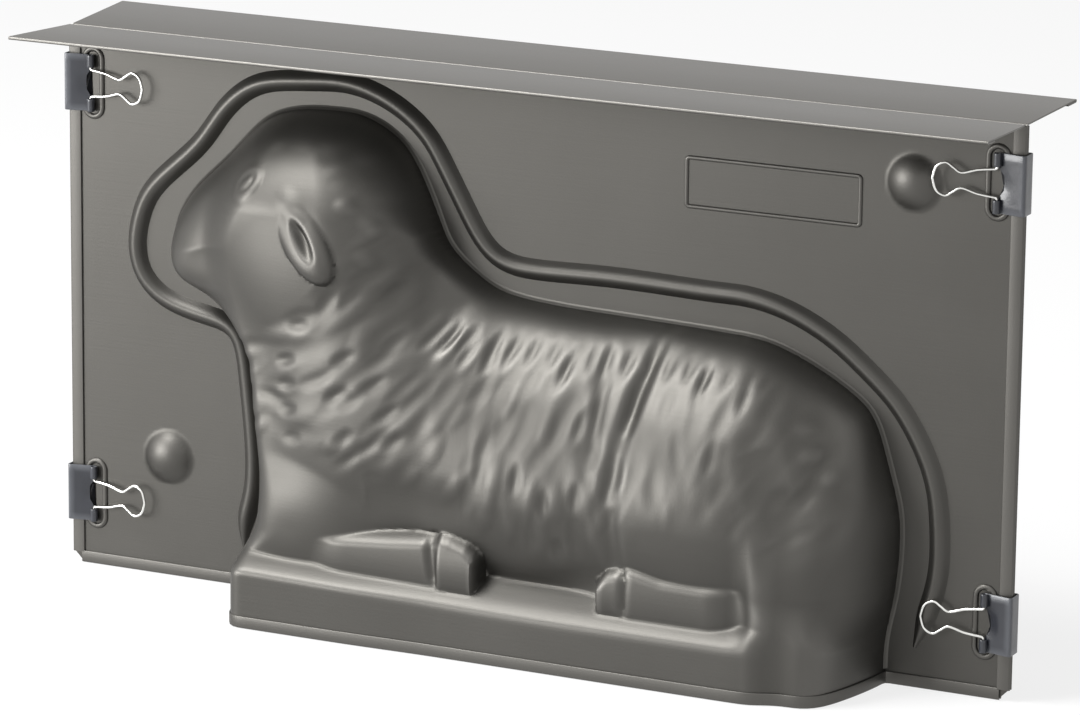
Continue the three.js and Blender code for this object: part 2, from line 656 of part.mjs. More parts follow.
// The clip's sheet. The middle of each curl is cut out, which leaves two short tubes with a notch between.
function makeClip() {
  const body = new THREE.ExtrudeGeometry(clipSection(), { depth: CLIP_LENGTH, bevelEnabled: false });
  body.translate(0, 0, -CLIP_LENGTH / 2);
  let solid = toSolid(body);
  const gap = CLIP_LENGTH - 2 * TUBE_LENGTH;
  const cutStart = TUBE_X - CURL_RADIUS - CLIP_SHEET;
  const cutSize = 2 * (CURL_RADIUS + CLIP_SHEET) + TUBE_BORE;
  for (const side of [-1, 1]) {
    const cut = new THREE.BoxGeometry(cutSize, cutSize, gap);
    cut.translate(cutStart + cutSize / 2, side * TUBE_Y, 0);
    solid = solid.subtract(toSolid(cut));
    const notch = new THREE.CylinderGeometry(CLIP_NOTCH_RADIUS, CLIP_NOTCH_RADIUS, cutSize, NOTCH_SIDES);
    notch.translate(cutStart, side * TUBE_Y, 0);
    solid = solid.subtract(toSolid(notch));
  }
  return toGeometry(solid);
}

// A round wire along a flat path in the plane x, z, with both ends closed.
function makeWire(path, diameter) {
  const corners = [];
  const indices = [];
  const across = new THREE.Vector3(0, 1, 0);
  path.forEach((p, i) => {
    const before = path[Math.max(i - 1, 0)];
    const after = path[Math.min(i + 1, path.length - 1)];
    const tangent = after.clone().sub(before).normalize();
    const beside = new THREE.Vector3().crossVectors(across, tangent);
    for (let k = 0; k < WIRE_SIDES; k += 1) {
      const angle = ((2 * k + 1) * Math.PI) / WIRE_SIDES;
      const corner = p.clone().addScaledVector(beside, (Math.cos(angle) * diameter) / 2);
      corners.push(corner.addScaledVector(across, (Math.sin(angle) * diameter) / 2));
    }
  });
  for (let i = 0; i + 1 < path.length; i += 1) {
    for (let k = 0; k < WIRE_SIDES; k += 1) {
      const a = i * WIRE_SIDES + k;
      const b = i * WIRE_SIDES + ((k + 1) % WIRE_SIDES);
      indices.push(a, b, a + WIRE_SIDES, b, b + WIRE_SIDES, a + WIRE_SIDES);
    }
  }
  const lastRing = (path.length - 1) * WIRE_SIDES;
  for (let k = 1; k + 1 < WIRE_SIDES; k += 1) {
    indices.push(0, k + 1, k, lastRing, lastRing + k, lastRing + k + 1);
  }
  const geometry = new THREE.BufferGeometry();
  geometry.setFromPoints(corners);
  geometry.setIndex(indices);
  return geometry;
}

// A lever is one bent wire: two feet that turn in the tubes, two arms drawn in to a waist, and a loop.
function leverPath() {
  const footEnd = CLIP_LENGTH / 2 - WIRE_SIDE_PLAY;
  const armZ = CLIP_LENGTH / 2 - TUBE_LENGTH - WIRE_SIDE_PLAY - WIRE / 2;
  const at = (x, z) => new THREE.Vector3(x, 0, z);
  const along = LEVER_REACH_SHARES;
  const arm = new THREE.CatmullRomCurve3([
    at(WIRE_BEND, armZ),
    at(LEVER_REACH * along.shoulder, (2 * armZ + LEVER_WAIST / 2) / 3),
    at(LEVER_REACH * along.waist, LEVER_WAIST / 2),
    at(LEVER_REACH * along.flare, (LEVER_WAIST + LEVER_LOOP) / 4),
    at(LEVER_REACH * along.widest, LEVER_LOOP / 2),
    at(LEVER_REACH * along.crown, LEVER_LOOP * LEVER_CROWN_SHARE),
    at(LEVER_REACH, 0),
  ]);
  const bend = WIRE_BEND * (1 - Math.SQRT1_2);
  const upper = [
    at(0, footEnd),
    at(0, armZ + WIRE_BEND),
    at(bend, armZ + bend),
    ...arm.getPoints(LEVER_STEPS),
  ];
  const lower = upper.slice(0, -1).map((p) => at(p.x, -p.z)).reverse();
  return [...upper, ...lower];
}

const mould = new THREE.Group();
mould.add(named("front_shell", makeShell(-1), DARK_COATING));
mould.add(named("rear_shell", makeShell(1), DARK_COATING));

const clipShape = makeClip();
const leverShape = makeWire(leverPath(), WIRE);
const clipX = PLATE_WIDTH / 2 + CLIP_SHEET + CLIP_SEAT_GAP;
for (const [level, heightShare] of Object.entries(CLIP_HEIGHT_SHARES)) {
  for (const [hand, direction] of [["left", -1], ["right", 1]]) {
    const clip = new THREE.Group();
    clip.position.set(direction * clipX, 0, heightShare * PLATE_HEIGHT);
    clip.rotation.z = direction < 0 ? 0 : Math.PI;
    clip.add(named(`clip_${level}_${hand}`, clipShape, CLIP_ENAMEL));
    for (const [face, side] of [["front", -1], ["rear", 1]]) {
      const lever = named(`lever_${level}_${hand}_${face}`, leverShape, BRIGHT_NICKEL);
      const localSide = direction < 0 ? side : -side;
      lever.position.set(TUBE_X, localSide * TUBE_Y, 0);
      lever.rotation.z = localSide * LEVER_TILT;
      clip.add(lever);
    }
    mould.add(clip);
  }
}

export default mould;
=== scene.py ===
# %% [markdown]
# # A lamb cake mould in Blender
#
# The real object is two halves pressed from thin sheet steel with a dark non-stick coating. They meet face to
# face, and four foldback clips with bright wire levers hold them shut while the lamb bakes between them.
#
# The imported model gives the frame: where each half, clip and lever is, and what moves. This script keeps
# that frame and makes the surfaces that are seen: the sculpted wool, the folded hems, the rolled tubes of
# the clips. All shapes are worked out in millimetres and turned to metres when a mesh is made.

import bpy
import numpy as np
from mathutils import Matrix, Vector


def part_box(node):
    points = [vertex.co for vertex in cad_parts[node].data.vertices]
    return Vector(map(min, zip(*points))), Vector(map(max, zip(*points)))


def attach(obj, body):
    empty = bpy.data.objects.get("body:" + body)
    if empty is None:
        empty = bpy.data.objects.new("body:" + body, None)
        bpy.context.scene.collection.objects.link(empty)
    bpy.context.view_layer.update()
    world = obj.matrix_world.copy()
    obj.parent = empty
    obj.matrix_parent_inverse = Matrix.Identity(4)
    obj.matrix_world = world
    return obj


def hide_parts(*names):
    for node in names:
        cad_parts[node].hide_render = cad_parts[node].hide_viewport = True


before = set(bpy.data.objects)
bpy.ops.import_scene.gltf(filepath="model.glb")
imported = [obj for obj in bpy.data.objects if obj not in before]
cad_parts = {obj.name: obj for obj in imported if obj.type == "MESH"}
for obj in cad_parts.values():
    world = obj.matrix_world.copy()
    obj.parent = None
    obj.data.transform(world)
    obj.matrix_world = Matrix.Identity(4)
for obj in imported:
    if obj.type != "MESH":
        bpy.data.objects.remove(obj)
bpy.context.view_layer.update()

MM = 0.001

# %% [markdown]
# ## The camera
#
# A camera is a place and three turns. These were fitted to the straight edges of the plates in the
# photograph, so the render can be laid over it. The focal length is first known in pixels of a picture 1080
# wide, and the lens of a 36 mm sensor follows from it.

# %% Camera
PICTURE_WIDTH = 1080
FOCAL_PIXELS = 5765
SENSOR = 36.0
FAR_CLIP = 20.0
CAMERA_PLACE = np.array([787.7, -1606.0, 534.7])
YAW, PITCH, ROLL = np.radians([26.0, 13.96, 0.64])


def camera_turn(yaw, pitch, roll):
    """The camera's right, up and backward directions.

    Level right is the x axis turned by the yaw, forward is tipped down by the pitch, up is their cross
    product, and the roll then turns right and up about forward.
    """
    level = np.array([np.cos(yaw), np.sin(yaw), 0.0])
    forward = np.array([-np.sin(yaw) * np.cos(pitch), np.cos(yaw) * np.cos(pitch), -np.sin(pitch)])
    upright = np.cross(level, forward)
    right = level * np.cos(roll) + upright * np.sin(roll)
    up = upright * np.cos(roll) - level * np.sin(roll)
    return np.stack([right, up, -forward], axis=1)


camera_data = bpy.data.cameras.new("camera")
camera_data.sensor_width = SENSOR
camera_data.lens = FOCAL_PIXELS / PICTURE_WIDTH * SENSOR
camera_data.clip_end = FAR_CLIP
camera = bpy.data.objects.new("camera", camera_data)
bpy.context.scene.collection.objects.link(camera)
placed = np.eye(4)
placed[:3, :3] = camera_turn(YAW, PITCH, ROLL)
placed[:3, 3] = CAMERA_PLACE * MM
camera.matrix_world = Matrix(placed)
bpy.context.scene.camera = camera
print("camera: lens", round(camera_data.lens, 1), "mm")

# %% [markdown]
# ## Sizes of the sheet
#
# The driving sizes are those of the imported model. Heights and widths of the plate come first, then the folds,
# the raised bead and the domes that lock the two halves together.

# %% Sizes of the sheet
PLATE_WIDTH, PLATE_HEIGHT = 337.0, 183.0
SHEET = 0.5
PARTING_GAP = 0.3
PLINTH_DEPTH, PLINTH_HEIGHT = 44.0, 16.5
HEM_OFFSET = 0.6
EDGE_INSET = 0.6
CORNER_CUT = 2.9
SIDE_HEM, BOTTOM_HEM = 4.4, 4.0
FLANGE_DEPTH, FLANGE_HEM, FLANGE_FLARE = 36.5, 6.0, 2.0
FLANGE_TILT = np.radians(2.5)
BEAD_HEIGHT, BEAD_HALF_WIDTH = 3.0, 3.5
DOME_RADIUS, DOME_HEIGHT, DOME_PLAY = 8.9, 4.0, 0.5
DOME_FULLNESS, DOME_POWER = 2.2, 1.1
DOMES = np.array([[-0.391, 0.221], [0.391, 0.881]]) * (PLATE_WIDTH, PLATE_HEIGHT)

SHEET_MIDDLE = PARTING_GAP / 2 + SHEET / 2
SIDE_X = PLATE_WIDTH / 2 - EDGE_INSET
BOTTOM_Z, TOP_Z = EDGE_INSET, PLATE_HEIGHT - HEM_OFFSET
low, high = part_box("front_shell")
print("front half in the frame:", [round(c / MM, 1) for c in (*low, *high)], "mm")

# %% [markdown]
# ## Two lines on the plate
#
# The lamb's outline and the bead round it are smooth curves through a few points, given as shares of the
# plate's width and height. A Catmull-Rom curve passes through its points and needs no handles, which suits
# points that were read off a picture.

# %% Outline and bead
OUTLINE_SHARES = [
    [-0.269, 0], [-0.269, 0.066], [-0.268, 0.12], [-0.26, 0.18], [-0.257, 0.246], [-0.262, 0.328],
    [-0.266, 0.393], [-0.272, 0.454], [-0.286, 0.5], [-0.32, 0.538], [-0.357, 0.565], [-0.375, 0.6],
    [-0.38, 0.634], [-0.375, 0.675], [-0.355, 0.73], [-0.319, 0.793], [-0.283, 0.862], [-0.256, 0.886],
    [-0.225, 0.895], [-0.172, 0.893], [-0.134, 0.858], [-0.113, 0.807], [-0.095, 0.737], [-0.081, 0.678],
    [-0.051, 0.633], [-0.022, 0.606], [0.034, 0.594], [0.118, 0.589], [0.201, 0.584], [0.25, 0.577],
    [0.297, 0.546], [0.338, 0.504], [0.36, 0.466], [0.379, 0.361], [0.387, 0.305], [0.388, 0.238],
    [0.384, 0.16], [0.375, 0.08], [0.374, 0],
]
BEAD_SHARES = [
    [-0.306, 0.066], [-0.305, 0.12], [-0.296, 0.183], [-0.295, 0.257], [-0.301, 0.372], [-0.307, 0.448],
    [-0.32, 0.484], [-0.358, 0.498], [-0.393, 0.516], [-0.417, 0.552], [-0.425, 0.598], [-0.423, 0.645],
    [-0.407, 0.716], [-0.354, 0.807], [-0.323, 0.883], [-0.288, 0.929], [-0.234, 0.943], [-0.187, 0.946],
    [-0.143, 0.92], [-0.107, 0.872], [-0.083, 0.803], [-0.06, 0.729], [-0.047, 0.692], [-0.03, 0.664],
    [0.001, 0.652], [0.093, 0.655], [0.19, 0.651], [0.231, 0.65], [0.272, 0.633], [0.312, 0.599],
    [0.345, 0.555], [0.386, 0.485], [0.417, 0.383], [0.426, 0.284], [0.424, 0.186], [0.404, 0.071],
]
LINE_SAMPLES = 220
CURVE_STEPS = 24
EASING_ROUNDS = 4


def evenly_along(line, count):
    """The same line with points at equal steps of length: each coordinate is read off at equal distances."""
    length = np.append(0, np.cumsum(np.linalg.norm(np.diff(line, axis=0), axis=1)))
    wanted = np.linspace(0, length[-1], count)
    return np.stack([np.interp(wanted, length, line[:, k]) for k in range(line.shape[1])], axis=1)


def smooth_line(points, count):
    """A Catmull-Rom curve: between two points it is the cubic that passes through both, with a slope at each
    point of half the step between its two neighbours."""
    p = np.asarray(points, float)
    a, b, c, d = (np.vstack([p[:1], p, p[-1:]])[k:len(p) - 1 + k, None] for k in range(4))
    t = np.linspace(0, 1, CURVE_STEPS, endpoint=False)[None, :, None]
    cubic = 2 * b + (c - a) * t + (2 * a - 5 * b + 4 * c - d) * t**2 + (3 * b - a - 3 * c + d) * t**3
    return evenly_along(np.vstack([cubic.reshape(-1, p.shape[1]) / 2, p[-1:]]), count)


def plate_line(shares):
    """A smooth line through shares of the plate's size. A few times over, each inner point then moves halfway
    to the middle of its neighbours, which eases the bends."""
    line = smooth_line(np.array(shares) * (PLATE_WIDTH, PLATE_HEIGHT), LINE_SAMPLES)
    for _ in range(EASING_ROUNDS):
        line[1:-1] = line[1:-1] / 2 + (line[:-2] + line[2:]) / 4
    return line


outline, bead_line = plate_line(OUTLINE_SHARES), plate_line(BEAD_SHARES)
print("outline:", len(outline), "points, from x", outline[0, 0].round(1), "to", outline[-1, 0].round(1))

# %% [markdown]
# ## Distances
#
# Almost every form on a pressed sheet can be said as a depth that depends on a distance: to the outline, to
# the bead's line, to a leg's axis. So the two distance functions come first, and they take whole arrays of
# points.

# %% Distance functions


def distance_to(line, x, z):
    """The shortest distance from each point to a run of straight pieces: along each piece the nearest place
    is the point's projection, held between the two ends."""
    best = np.full(np.shape(x), np.inf)
    for a, b in zip(line[:-1], line[1:]):
        run = b - a
        t = np.clip(((x - a[0]) * run[0] + (z - a[1]) * run[1]) / (run @ run), 0, 1)
        best = np.minimum(best, np.hypot(x - a[0] - t * run[0], z - a[1] - t * run[1]))
    return best


def inside_outline(x, z):
    """The distance inside the outline, negative outside. A point is inside if a ray from it along +x crosses
    the outline an odd number of times. The outline is carried straight down past the bottom rim."""
    ring = np.vstack([[outline[0, 0], -PLATE_HEIGHT], outline, [outline[-1, 0], -PLATE_HEIGHT]])
    inside = np.zeros(np.shape(x), bool)
    for a, b in zip(ring, np.roll(ring, 1, axis=0)):
        if a[1] != b[1]:
            crosses = (a[1] > z) != (b[1] > z)
            inside ^= crosses & (x < a[0] + (z - a[1]) / (b[1] - a[1]) * (b[0] - a[0]))
    distance = distance_to(ring[:-1], x, z)
    return np.where(inside, distance, -distance)


def smooth_step(low, high, value):
    """0 below low and 1 above high, and between them 3 t squared minus 2 t cubed."""
    t = np.clip((value - low) / (high - low), 0, 1)
    return t * t * (3 - 2 * t)


def rounded_min(a, b, blend):
    """The lesser of two depths, with the corner between them rounded over a difference of blend."""
    h = np.maximum(blend - np.abs(a - b), 0) / blend
    return np.minimum(a, b) - h * h * blend / 4


def rounded_max(a, b, blend):
    """The greater of two depths, rounded in the same way."""
    return -rounded_min(-a, -b, blend)


# %% [markdown]
# ## The lamb's body
#
# The maker of the press tool carved a reclining lamb in half relief. Its large masses are half ellipsoids
# over the parting plane, melted into each other with rounded maxima. Sculpting by hand could do the same,
# but a formula gives both halves the same shape and keeps the edges clean.

# %% Body masses
# Centre x and z, half width and half height, tilt in degrees, depth, and fullness. A fullness of 1 is a true
# ellipsoid, and 2 keeps its depth further out and turns down later.
MASSES = {
    "skull": (-68.0, 128.0, 44.0, 47.0, 0, 29.5, 1.2),
    "face": (-84.0, 126.0, 62.0, 44.0, 14.0, 25.5, 1),
    "neck": (-62.0, 103.0, 43.0, 48.0, 0, 31.0, 1),
    "chest": (-50.0, 62.0, 46.0, 60.0, 0, 36.6, 1),
    "forearm": (-66.0, 34.0, 38.0, 28.0, -4, 37.2, 1.2),
    "barrel": (15.0, 60.0, 100.0, 56.0, 0, 38.4, 1),
    "haunch": (74.0, 57.0, 58.0, 56.0, 0, 40.5, 1),
}
MASS_BLEND = 10.0
# How deep the body stands just over the plinth, how it leans, and where along x it changes: it grows out of
# the chest, is tucked in between the hooves and comes out again at the haunch.
SKIRT_DEPTH, SKIRT_LEAN, SKIRT_BLEND = 37.0, 0.14, 4.0
SKIRT_CHANGES = [(-58.0, -4.0, -7.8), (14.0, 60.0, 5.2)]


def turned(x, z, centre_x, centre_z, degrees):
    """Coordinates about a centre, along and across a direction that is turned up by an angle."""
    cos, sin = np.cos(np.radians(degrees)), np.sin(np.radians(degrees))
    dx, dz = x - centre_x, z - centre_z
    return dx * cos + dz * sin, dz * cos - dx * sin


def ellipsoid(x, z, centre_x, centre_z, half_width, half_height, degrees, depth, fullness):
    """A half ellipsoid: depth times the root of 1 minus the sum of the squared shares of its half sizes, with
    the sum raised to the fullness."""
    u, v = turned(x, z, centre_x, centre_z, degrees)
    return depth * np.sqrt(np.maximum(0, 1 - ((u / half_width) ** 2 + (v / half_height) ** 2) ** fullness))


def body_masses(x, z):
    """All the masses, each melted into the ones before it. Low down, a skirt that leans back a little as it
    rises carries the body to the plinth."""
    depth = np.zeros(np.shape(x))
    for mass in MASSES.values():
        depth = rounded_max(depth, ellipsoid(x, z, *mass), MASS_BLEND)
    skirt = SKIRT_DEPTH - SKIRT_LEAN * np.maximum(0, z - PLINTH_HEIGHT)
    skirt = skirt + sum(change * smooth_step(start, end, x) for start, end, change in SKIRT_CHANGES)
    return rounded_max(depth, skirt, SKIRT_BLEND)


# %% [markdown]
# ## Folded legs
#
# The legs and hooves lie on the plinth as low slabs. Each has an upright front and a bevel on top, which
# runs down into the body behind it. Where the body is tucked in, more of the bevel shows. The front hoof
# stops at a flat end, like a cut dowel.

# %% Legs and hooves
# For each slab: x, the height of its top edge and the depth of the body there, at a few places along it;
# the depth of its front and how much that is rounded; the two ranges of x over which the front grows out
# and sinks back; and how far it sinks.
SLABS = {
    "foreleg": (
        [-60, -50, -30, -12], [32.5, 33.8, 36.8, 38.8], [36.8, 35.2, 32.6, 32.2],
        38.2, 1.2, (-92, -46), (-9, -5), 12.0,
    ),
    "fore_hoof": (
        [-14, -9, -3, 3], [39.8, 39.4, 38.0, 34.5], [32.8, 32.6, 32.2, 31.6],
        39.6, 2.6, (-17.0, -11.6), (-0.4, 2.4), 12.0,
    ),
    "hind_hoof": (
        [43, 46, 50, 54], [31.0, 34.6, 35.6, 34.6], [33.8, 34.4, 35.0, 36.0],
        38.8, 2.4, (38.6, 44.6), (52.0, 57.0), 12.0,
    ),
    "hind_leg": (
        [50, 58, 65, 80, 98], [37.4, 36.0, 34.4, 34.0, 33.4], [35.4, 36.0, 36.4, 36.6, 36.6],
        38.6, 1.2, (48, 54), (80, 112), 12.0,
    ),
}
SLAB_BEVEL, SLAB_BLEND = 1.8, 3.0
SLAB_MIDDLE, SLAB_HALF_HEIGHT = 27.0, 10.0
LIMB_BLEND = 1.1
# Narrow grooves: both ends, half width and depth.
GROOVES = {
    "fore_fetlock": (-15.6, 37.0, -13.6, 23.5, 2.8, -1.0),
    "hind_fetlock": (53.0, 34.0, 52.4, 23.0, 2.2, -0.6),
    "haunch_fold_high": (53.0, 114.0, 49.2, 80.0, 4.4, -1.9),
    "haunch_fold": (49.0, 92.0, 47.1, 60.0, 4.8, -1.5),
    "haunch_fold_low": (47.2, 68.0, 48.6, 36.0, 5.0, -0.9),
    "barrel_fold": (36.6, 98.0, 39.8, 69.0, 3.8, -1.0),
    "flank_fold": (30.5, 87.0, 22.0, 67.0, 4.4, -0.5),
    "elbow_fold": (-40.0, 49.0, -6.0, 48.0, 11.0, -0.9),
    "rump_groove": (92.0, 78.0, 104.0, 52.0, 8.0, -1.4),
    "tail_groove": (104.5, 60.0, 106.0, -14.0, 9.5, -2.0),
}


def along_axis(x, z, x0, z0, x1, z1):
    """How far along an axis each point's projection lies, from 0 to 1, and the distance to it."""
    run = np.array([x1 - x0, z1 - z0])
    t = np.clip(((x - x0) * run[0] + (z - z0) * run[1]) / (run @ run), 0, 1)
    return t, np.hypot(x - x0 - t * run[0], z - z0 - t * run[1])


def slab(x, z, places, tops, behind, front, rounding, grows, sinks, drop):
    """The depth of a leg's or a hoof's slab: the lesser of its front and a bevel that passes through the
    top edge. The front is rounded as the squared share of the way to its upper and lower edge. Before it
    grows and after it sinks it lies further in by the drop."""
    top, body = np.interp(x, places, tops), np.interp(x, places, behind)
    ends = 1 - smooth_step(*grows, x) + smooth_step(*sinks, x)
    rounded_front = front - drop * ends - rounding * ((z - SLAB_MIDDLE) / SLAB_HALF_HEIGHT) ** 2
    return rounded_min(rounded_front, body - SLAB_BEVEL * (z - top), SLAB_BLEND)


def groove(x, z, x0, z0, x1, z1, half_width, height):
    """A groove with soft sides: height times a bell, which is 1 minus the squared share of the half width,
    all squared. Towards both ends it falls to half."""
    t, distance = along_axis(x, z, x0, z0, x1, z1)
    bell = np.maximum(0, 1 - (distance / half_width) ** 2) ** 2
    return height * bell * (1 - (2 * t - 1) ** 8 / 2)


# %% [markdown]
# ## Face and ear
#
# The eye, nostril and ear are small raised or sunken ovals on the head. The ear is a leaf with a thick
# rim and a deep slit: one raised oval with a narrower one sunk into it.

# %% Face and ear
# Centre x and z, half length and half width, tilt in degrees, height, and how square the oval's top is.
MARKS = {
    "ear_hollow": (-64.0, 127.6, 8.8, 2.7, -52.0, -2.8, 1.5),
    "eye_mound": (-88.8, 142.2, 7.0, 4.8, 42, 0.9, 0.7),
    "eye_hollow": (-89.0, 142.5, 4.8, 2.9, 42, -0.9, 1.0),
    "eye_ball": (-89.0, 142.3, 3.2, 1.6, 42, 0.9, 1.0),
    "brow_to_ear": (-70.0, 137.0, 9.0, 5.0, -50, 0.6, 2.0),
    "nostril": (-123.4, 119.4, 1.6, 1.1, 60, -0.6, 1.5),
    "cap_front": (-83.5, 156.0, 7.5, 5.0, 20, 0.6, 2.0),
    "cap_second": (-73.0, 157.5, 7.5, 5.0, 4, 0.5, 2.0),
    "cap_third": (-62.0, 157.0, 7.5, 5.0, -4, 0.6, 2.0),
    "cap_fourth": (-51.5, 154.5, 7.0, 5.0, -22, 0.5, 2.0),
    "curl_front": (-52.0, 138.4, 5.0, 3.4, -20, 0.6, 2.0),
    "curl_low": (-44.6, 132.4, 5.0, 3.4, -40, 0.6, 2.0),
    "curl_back": (-44.6, 122.4, 5.0, 3.4, -30, 0.5, 2.0),
}
EAR = (-63.6, 125.8, 14.4, 7.2, -51.0)
EAR_HEIGHT, EAR_LIFT, EAR_POWER = 2.6, 2.8, 0.8


def mark(x, z, centre_x, centre_z, half_length, half_width, degrees, height, power):
    """A raised or sunken oval: height times 1 minus the squared share of its half sizes, to a power."""
    u, v = turned(x, z, centre_x, centre_z, degrees)
    return height * np.maximum(0, 1 - (u / half_length) ** 2 - (v / half_width) ** 2) ** power


def ear(x, z, centre_x, centre_z, half_length, half_width, degrees):
    """A leaf that stands further out towards its tip: its height grows evenly along it. Across, it is that
    height times 1 minus the squared sum of the squared shares, to a power."""
    u, v = turned(x, z, centre_x, centre_z, degrees)
    height = EAR_HEIGHT + EAR_LIFT * u / half_length
    return height * np.maximum(0, 1 - ((u / half_length) ** 2 + (v / half_width) ** 2) ** 2) ** EAR_POWER


# %% [markdown]
# ## Wool
#
# The wool is carved as soft dabs, like thumb marks in clay. On the chest they lie almost level, on the neck
# they rise to the back, and on the flank they hang straight down. A fixed seed lays out broad shallow dabs
# in staggered rows and shakes them, so that no two look alike. The deeper hollows that catch the eye are a
# table.

# %% Wool
WOOL_SEED = 11
DAB_COLUMN, DAB_ROW = 7.6, 9.6
DAB_LENGTH, DAB_WIDTH, DAB_HEIGHT = 9.5, 3.7, 0.46
WOOL_SPAN_X, WOOL_SPAN_Z = (-96, 132), (26, 168)
# How far a dab is shaken in x, z and tilt, and the ranges of its shares of length, width and height.
SHAKE_X, SHAKE_Z, SHAKE_TILT = 1.7, 2.0, 9
LENGTH_SHARES, WIDTH_SHARES, HEIGHT_SHARES = (0.7, 1.3), (0.8, 1.3), (0.3, 1.2)
SUNKEN_SHARE = 0.6
LEAST_WOOL = 0.02
# A row of hollows over the flank: start and end in x, step, height, half length, half width and depth.
FRINGE = (-24.0, 92.0, 6.8, 97.5, 7.0, 2.7, -0.9)
FRINGE_SHAKE_X, FRINGE_SHAKE_Z = 0.8, 2.2
TABLE_WIDTH_SHARE, TABLE_HEIGHT_SHARE = 1.2, 0.72
FACE_FADE, FOOT_FADE = 9, 15
WOOL_X = [-95, -78, -55, -30, -5, 15, 35, 60, 80, 100, 125]
WOOL_TURNS = [4, 14, 32, 44, 66, 80, 92, 88, 76, 60, 50]
WOOL_FACE_Z = [84, 97, 107, 131, 146, 165]
WOOL_FACE_X = [-120, -86, -68, -50, -62, -92]
WOOL_FOOT_X = [-95, -78, -60, -40, -18, -4, 8, 35, 56, 75, 100, 120]
WOOL_FOOT_Z = [50, 54, 54, 50, 46, 38, 29, 29, 40, 52, 40, 34]
# Rows of x and z, then the half length, half width, tilt in degrees and height that they share.
HOLLOWS = {
    "chest_edge": (
        [(-65.8, 99.4), (-70.9, 87.6), (-70.2, 80.0), (-69.4, 71.9), (-67.2, 62.8)], 5.4, 2.4, 12, -1.0,
    ),
    "chest": (
        [(-48.5, 91.3), (-50.6, 79.3), (-47.7, 65.8), (-38.4, 83.7), (-38.3, 53.2)], 6.5, 2.6, 30, -0.9,
    ),
    "shoulder": ([(-33.5, 97.4), (-32.6, 75.3), (-29.7, 66.8), (-46.2, 57.8)], 6.5, 2.6, 40, -0.9),
    "neck": ([(-47.8, 110.6), (-36.0, 112.0), (-26.0, 104.0), (-56.0, 108.0)], 6.0, 3.0, 48, -0.7),
    "withers": ([(-9.7, 95.1), (-2.6, 93.4), (-17.0, 99.0)], 6.2, 2.3, 68, -0.9),
    "flank": ([(23.2, 91.4), (27.6, 102.5), (36.6, 101.0), (33.0, 78.0)], 6.4, 2.2, 84, -1.1),
    "haunch": ([(59.2, 104.7), (73.8, 107.3), (71.2, 97.2), (85.6, 91.3)], 6.2, 2.3, 82, -0.9),
    "belly": ([(14.3, 60.7), (35.3, 57.0), (24.5, 53.3), (28.6, 38.2), (79.6, 74.6)], 6.4, 2.4, 86, -0.9),
}
PADS = {
    "rump": ([(106.5, 84.0), (109.5, 76.5), (114.0, 70.0)], 5.6, 3.3, 4, 1.0),
    "tail": ([(116.0, 60.0)], 7.5, 6.5, 0, 1.2),
}


def wool_amount(x, z):
    """1 where the lamb has wool, 0 on its face, its forearms, its legs and the plinth, and soft between."""
    behind_face = smooth_step(0, FACE_FADE, x - np.interp(z, WOOL_FACE_Z, WOOL_FACE_X))
    above_foot = smooth_step(0, FOOT_FADE, z - np.interp(x, WOOL_FOOT_X, WOOL_FOOT_Z))
    return behind_face * above_foot


def dab_table():
    """All dabs as rows of centre x and z, half length, half width, tilt and height. Two in five rise."""
    rng = np.random.default_rng(WOOL_SEED)
    rows, columns = np.mgrid[slice(*WOOL_SPAN_Z, DAB_ROW), slice(*WOOL_SPAN_X, DAB_COLUMN)]
    columns = columns + (np.arange(len(rows)) % 2)[:, None] * DAB_COLUMN / 2
    count = rows.size
    centre_x = columns.ravel() + rng.normal(0, SHAKE_X, count)
    centre_z = rows.ravel() + rng.normal(0, SHAKE_Z, count)
    tilt = np.interp(centre_x, WOOL_X, WOOL_TURNS) + rng.normal(0, SHAKE_TILT, count)
    length = DAB_LENGTH * rng.uniform(*LENGTH_SHARES, count)
    width = DAB_WIDTH * rng.uniform(*WIDTH_SHARES, count)
    height = DAB_HEIGHT * rng.uniform(*HEIGHT_SHARES, count)
    height = height * rng.choice([-1, 1], count, p=[SUNKEN_SHARE, 1 - SUNKEN_SHARE])
    table = np.stack([centre_x, centre_z, length, width, tilt, height], axis=1)
    table = table[wool_amount(centre_x, centre_z) > LEAST_WOOL]
    start, end, step, level, long, wide, deep = FRINGE
    fringe_x = np.arange(start, end, step)
    fringe_x = fringe_x + rng.normal(0, FRINGE_SHAKE_X, len(fringe_x))
    fringe_z = level + rng.normal(0, FRINGE_SHAKE_Z, len(fringe_x))
    fringe = [(a, b, long, wide, np.interp(a, WOOL_X, WOOL_TURNS), deep) for a, b in zip(fringe_x, fringe_z)]
    known = [(*place, *shape) for places, *shape in (*HOLLOWS.values(), *PADS.values()) for place in places]
    return np.vstack([table, fringe, np.array(known) * (1, 1, 1, TABLE_WIDTH_SHARE, 1, TABLE_HEIGHT_SHARE)])


def wool_dabs(x, z):
    """The sum of all dabs: each is its height times the square of 1 minus the squared shares of its half
    sizes, which meets the surface round it without an edge."""
    field = np.zeros(np.shape(x))
    for row in dab_table():
        near = np.hypot(x - row[0], z - row[1]) < row[2]
        field[near] += mark(x[near], z[near], *row, 2)
    return field


# %% [markdown]
# ## The whole depth
#
# Now the parts come together. Body, plinth and legs are melted into one sculpted depth. Near the outline a
# rounded wall takes over, because a press cannot draw sheet over a sharp edge. The bead and the domes lie on
# the flat plate outside it.

# %% Depth of the pressed sheet
PLINTH_SLOPE = 1.55
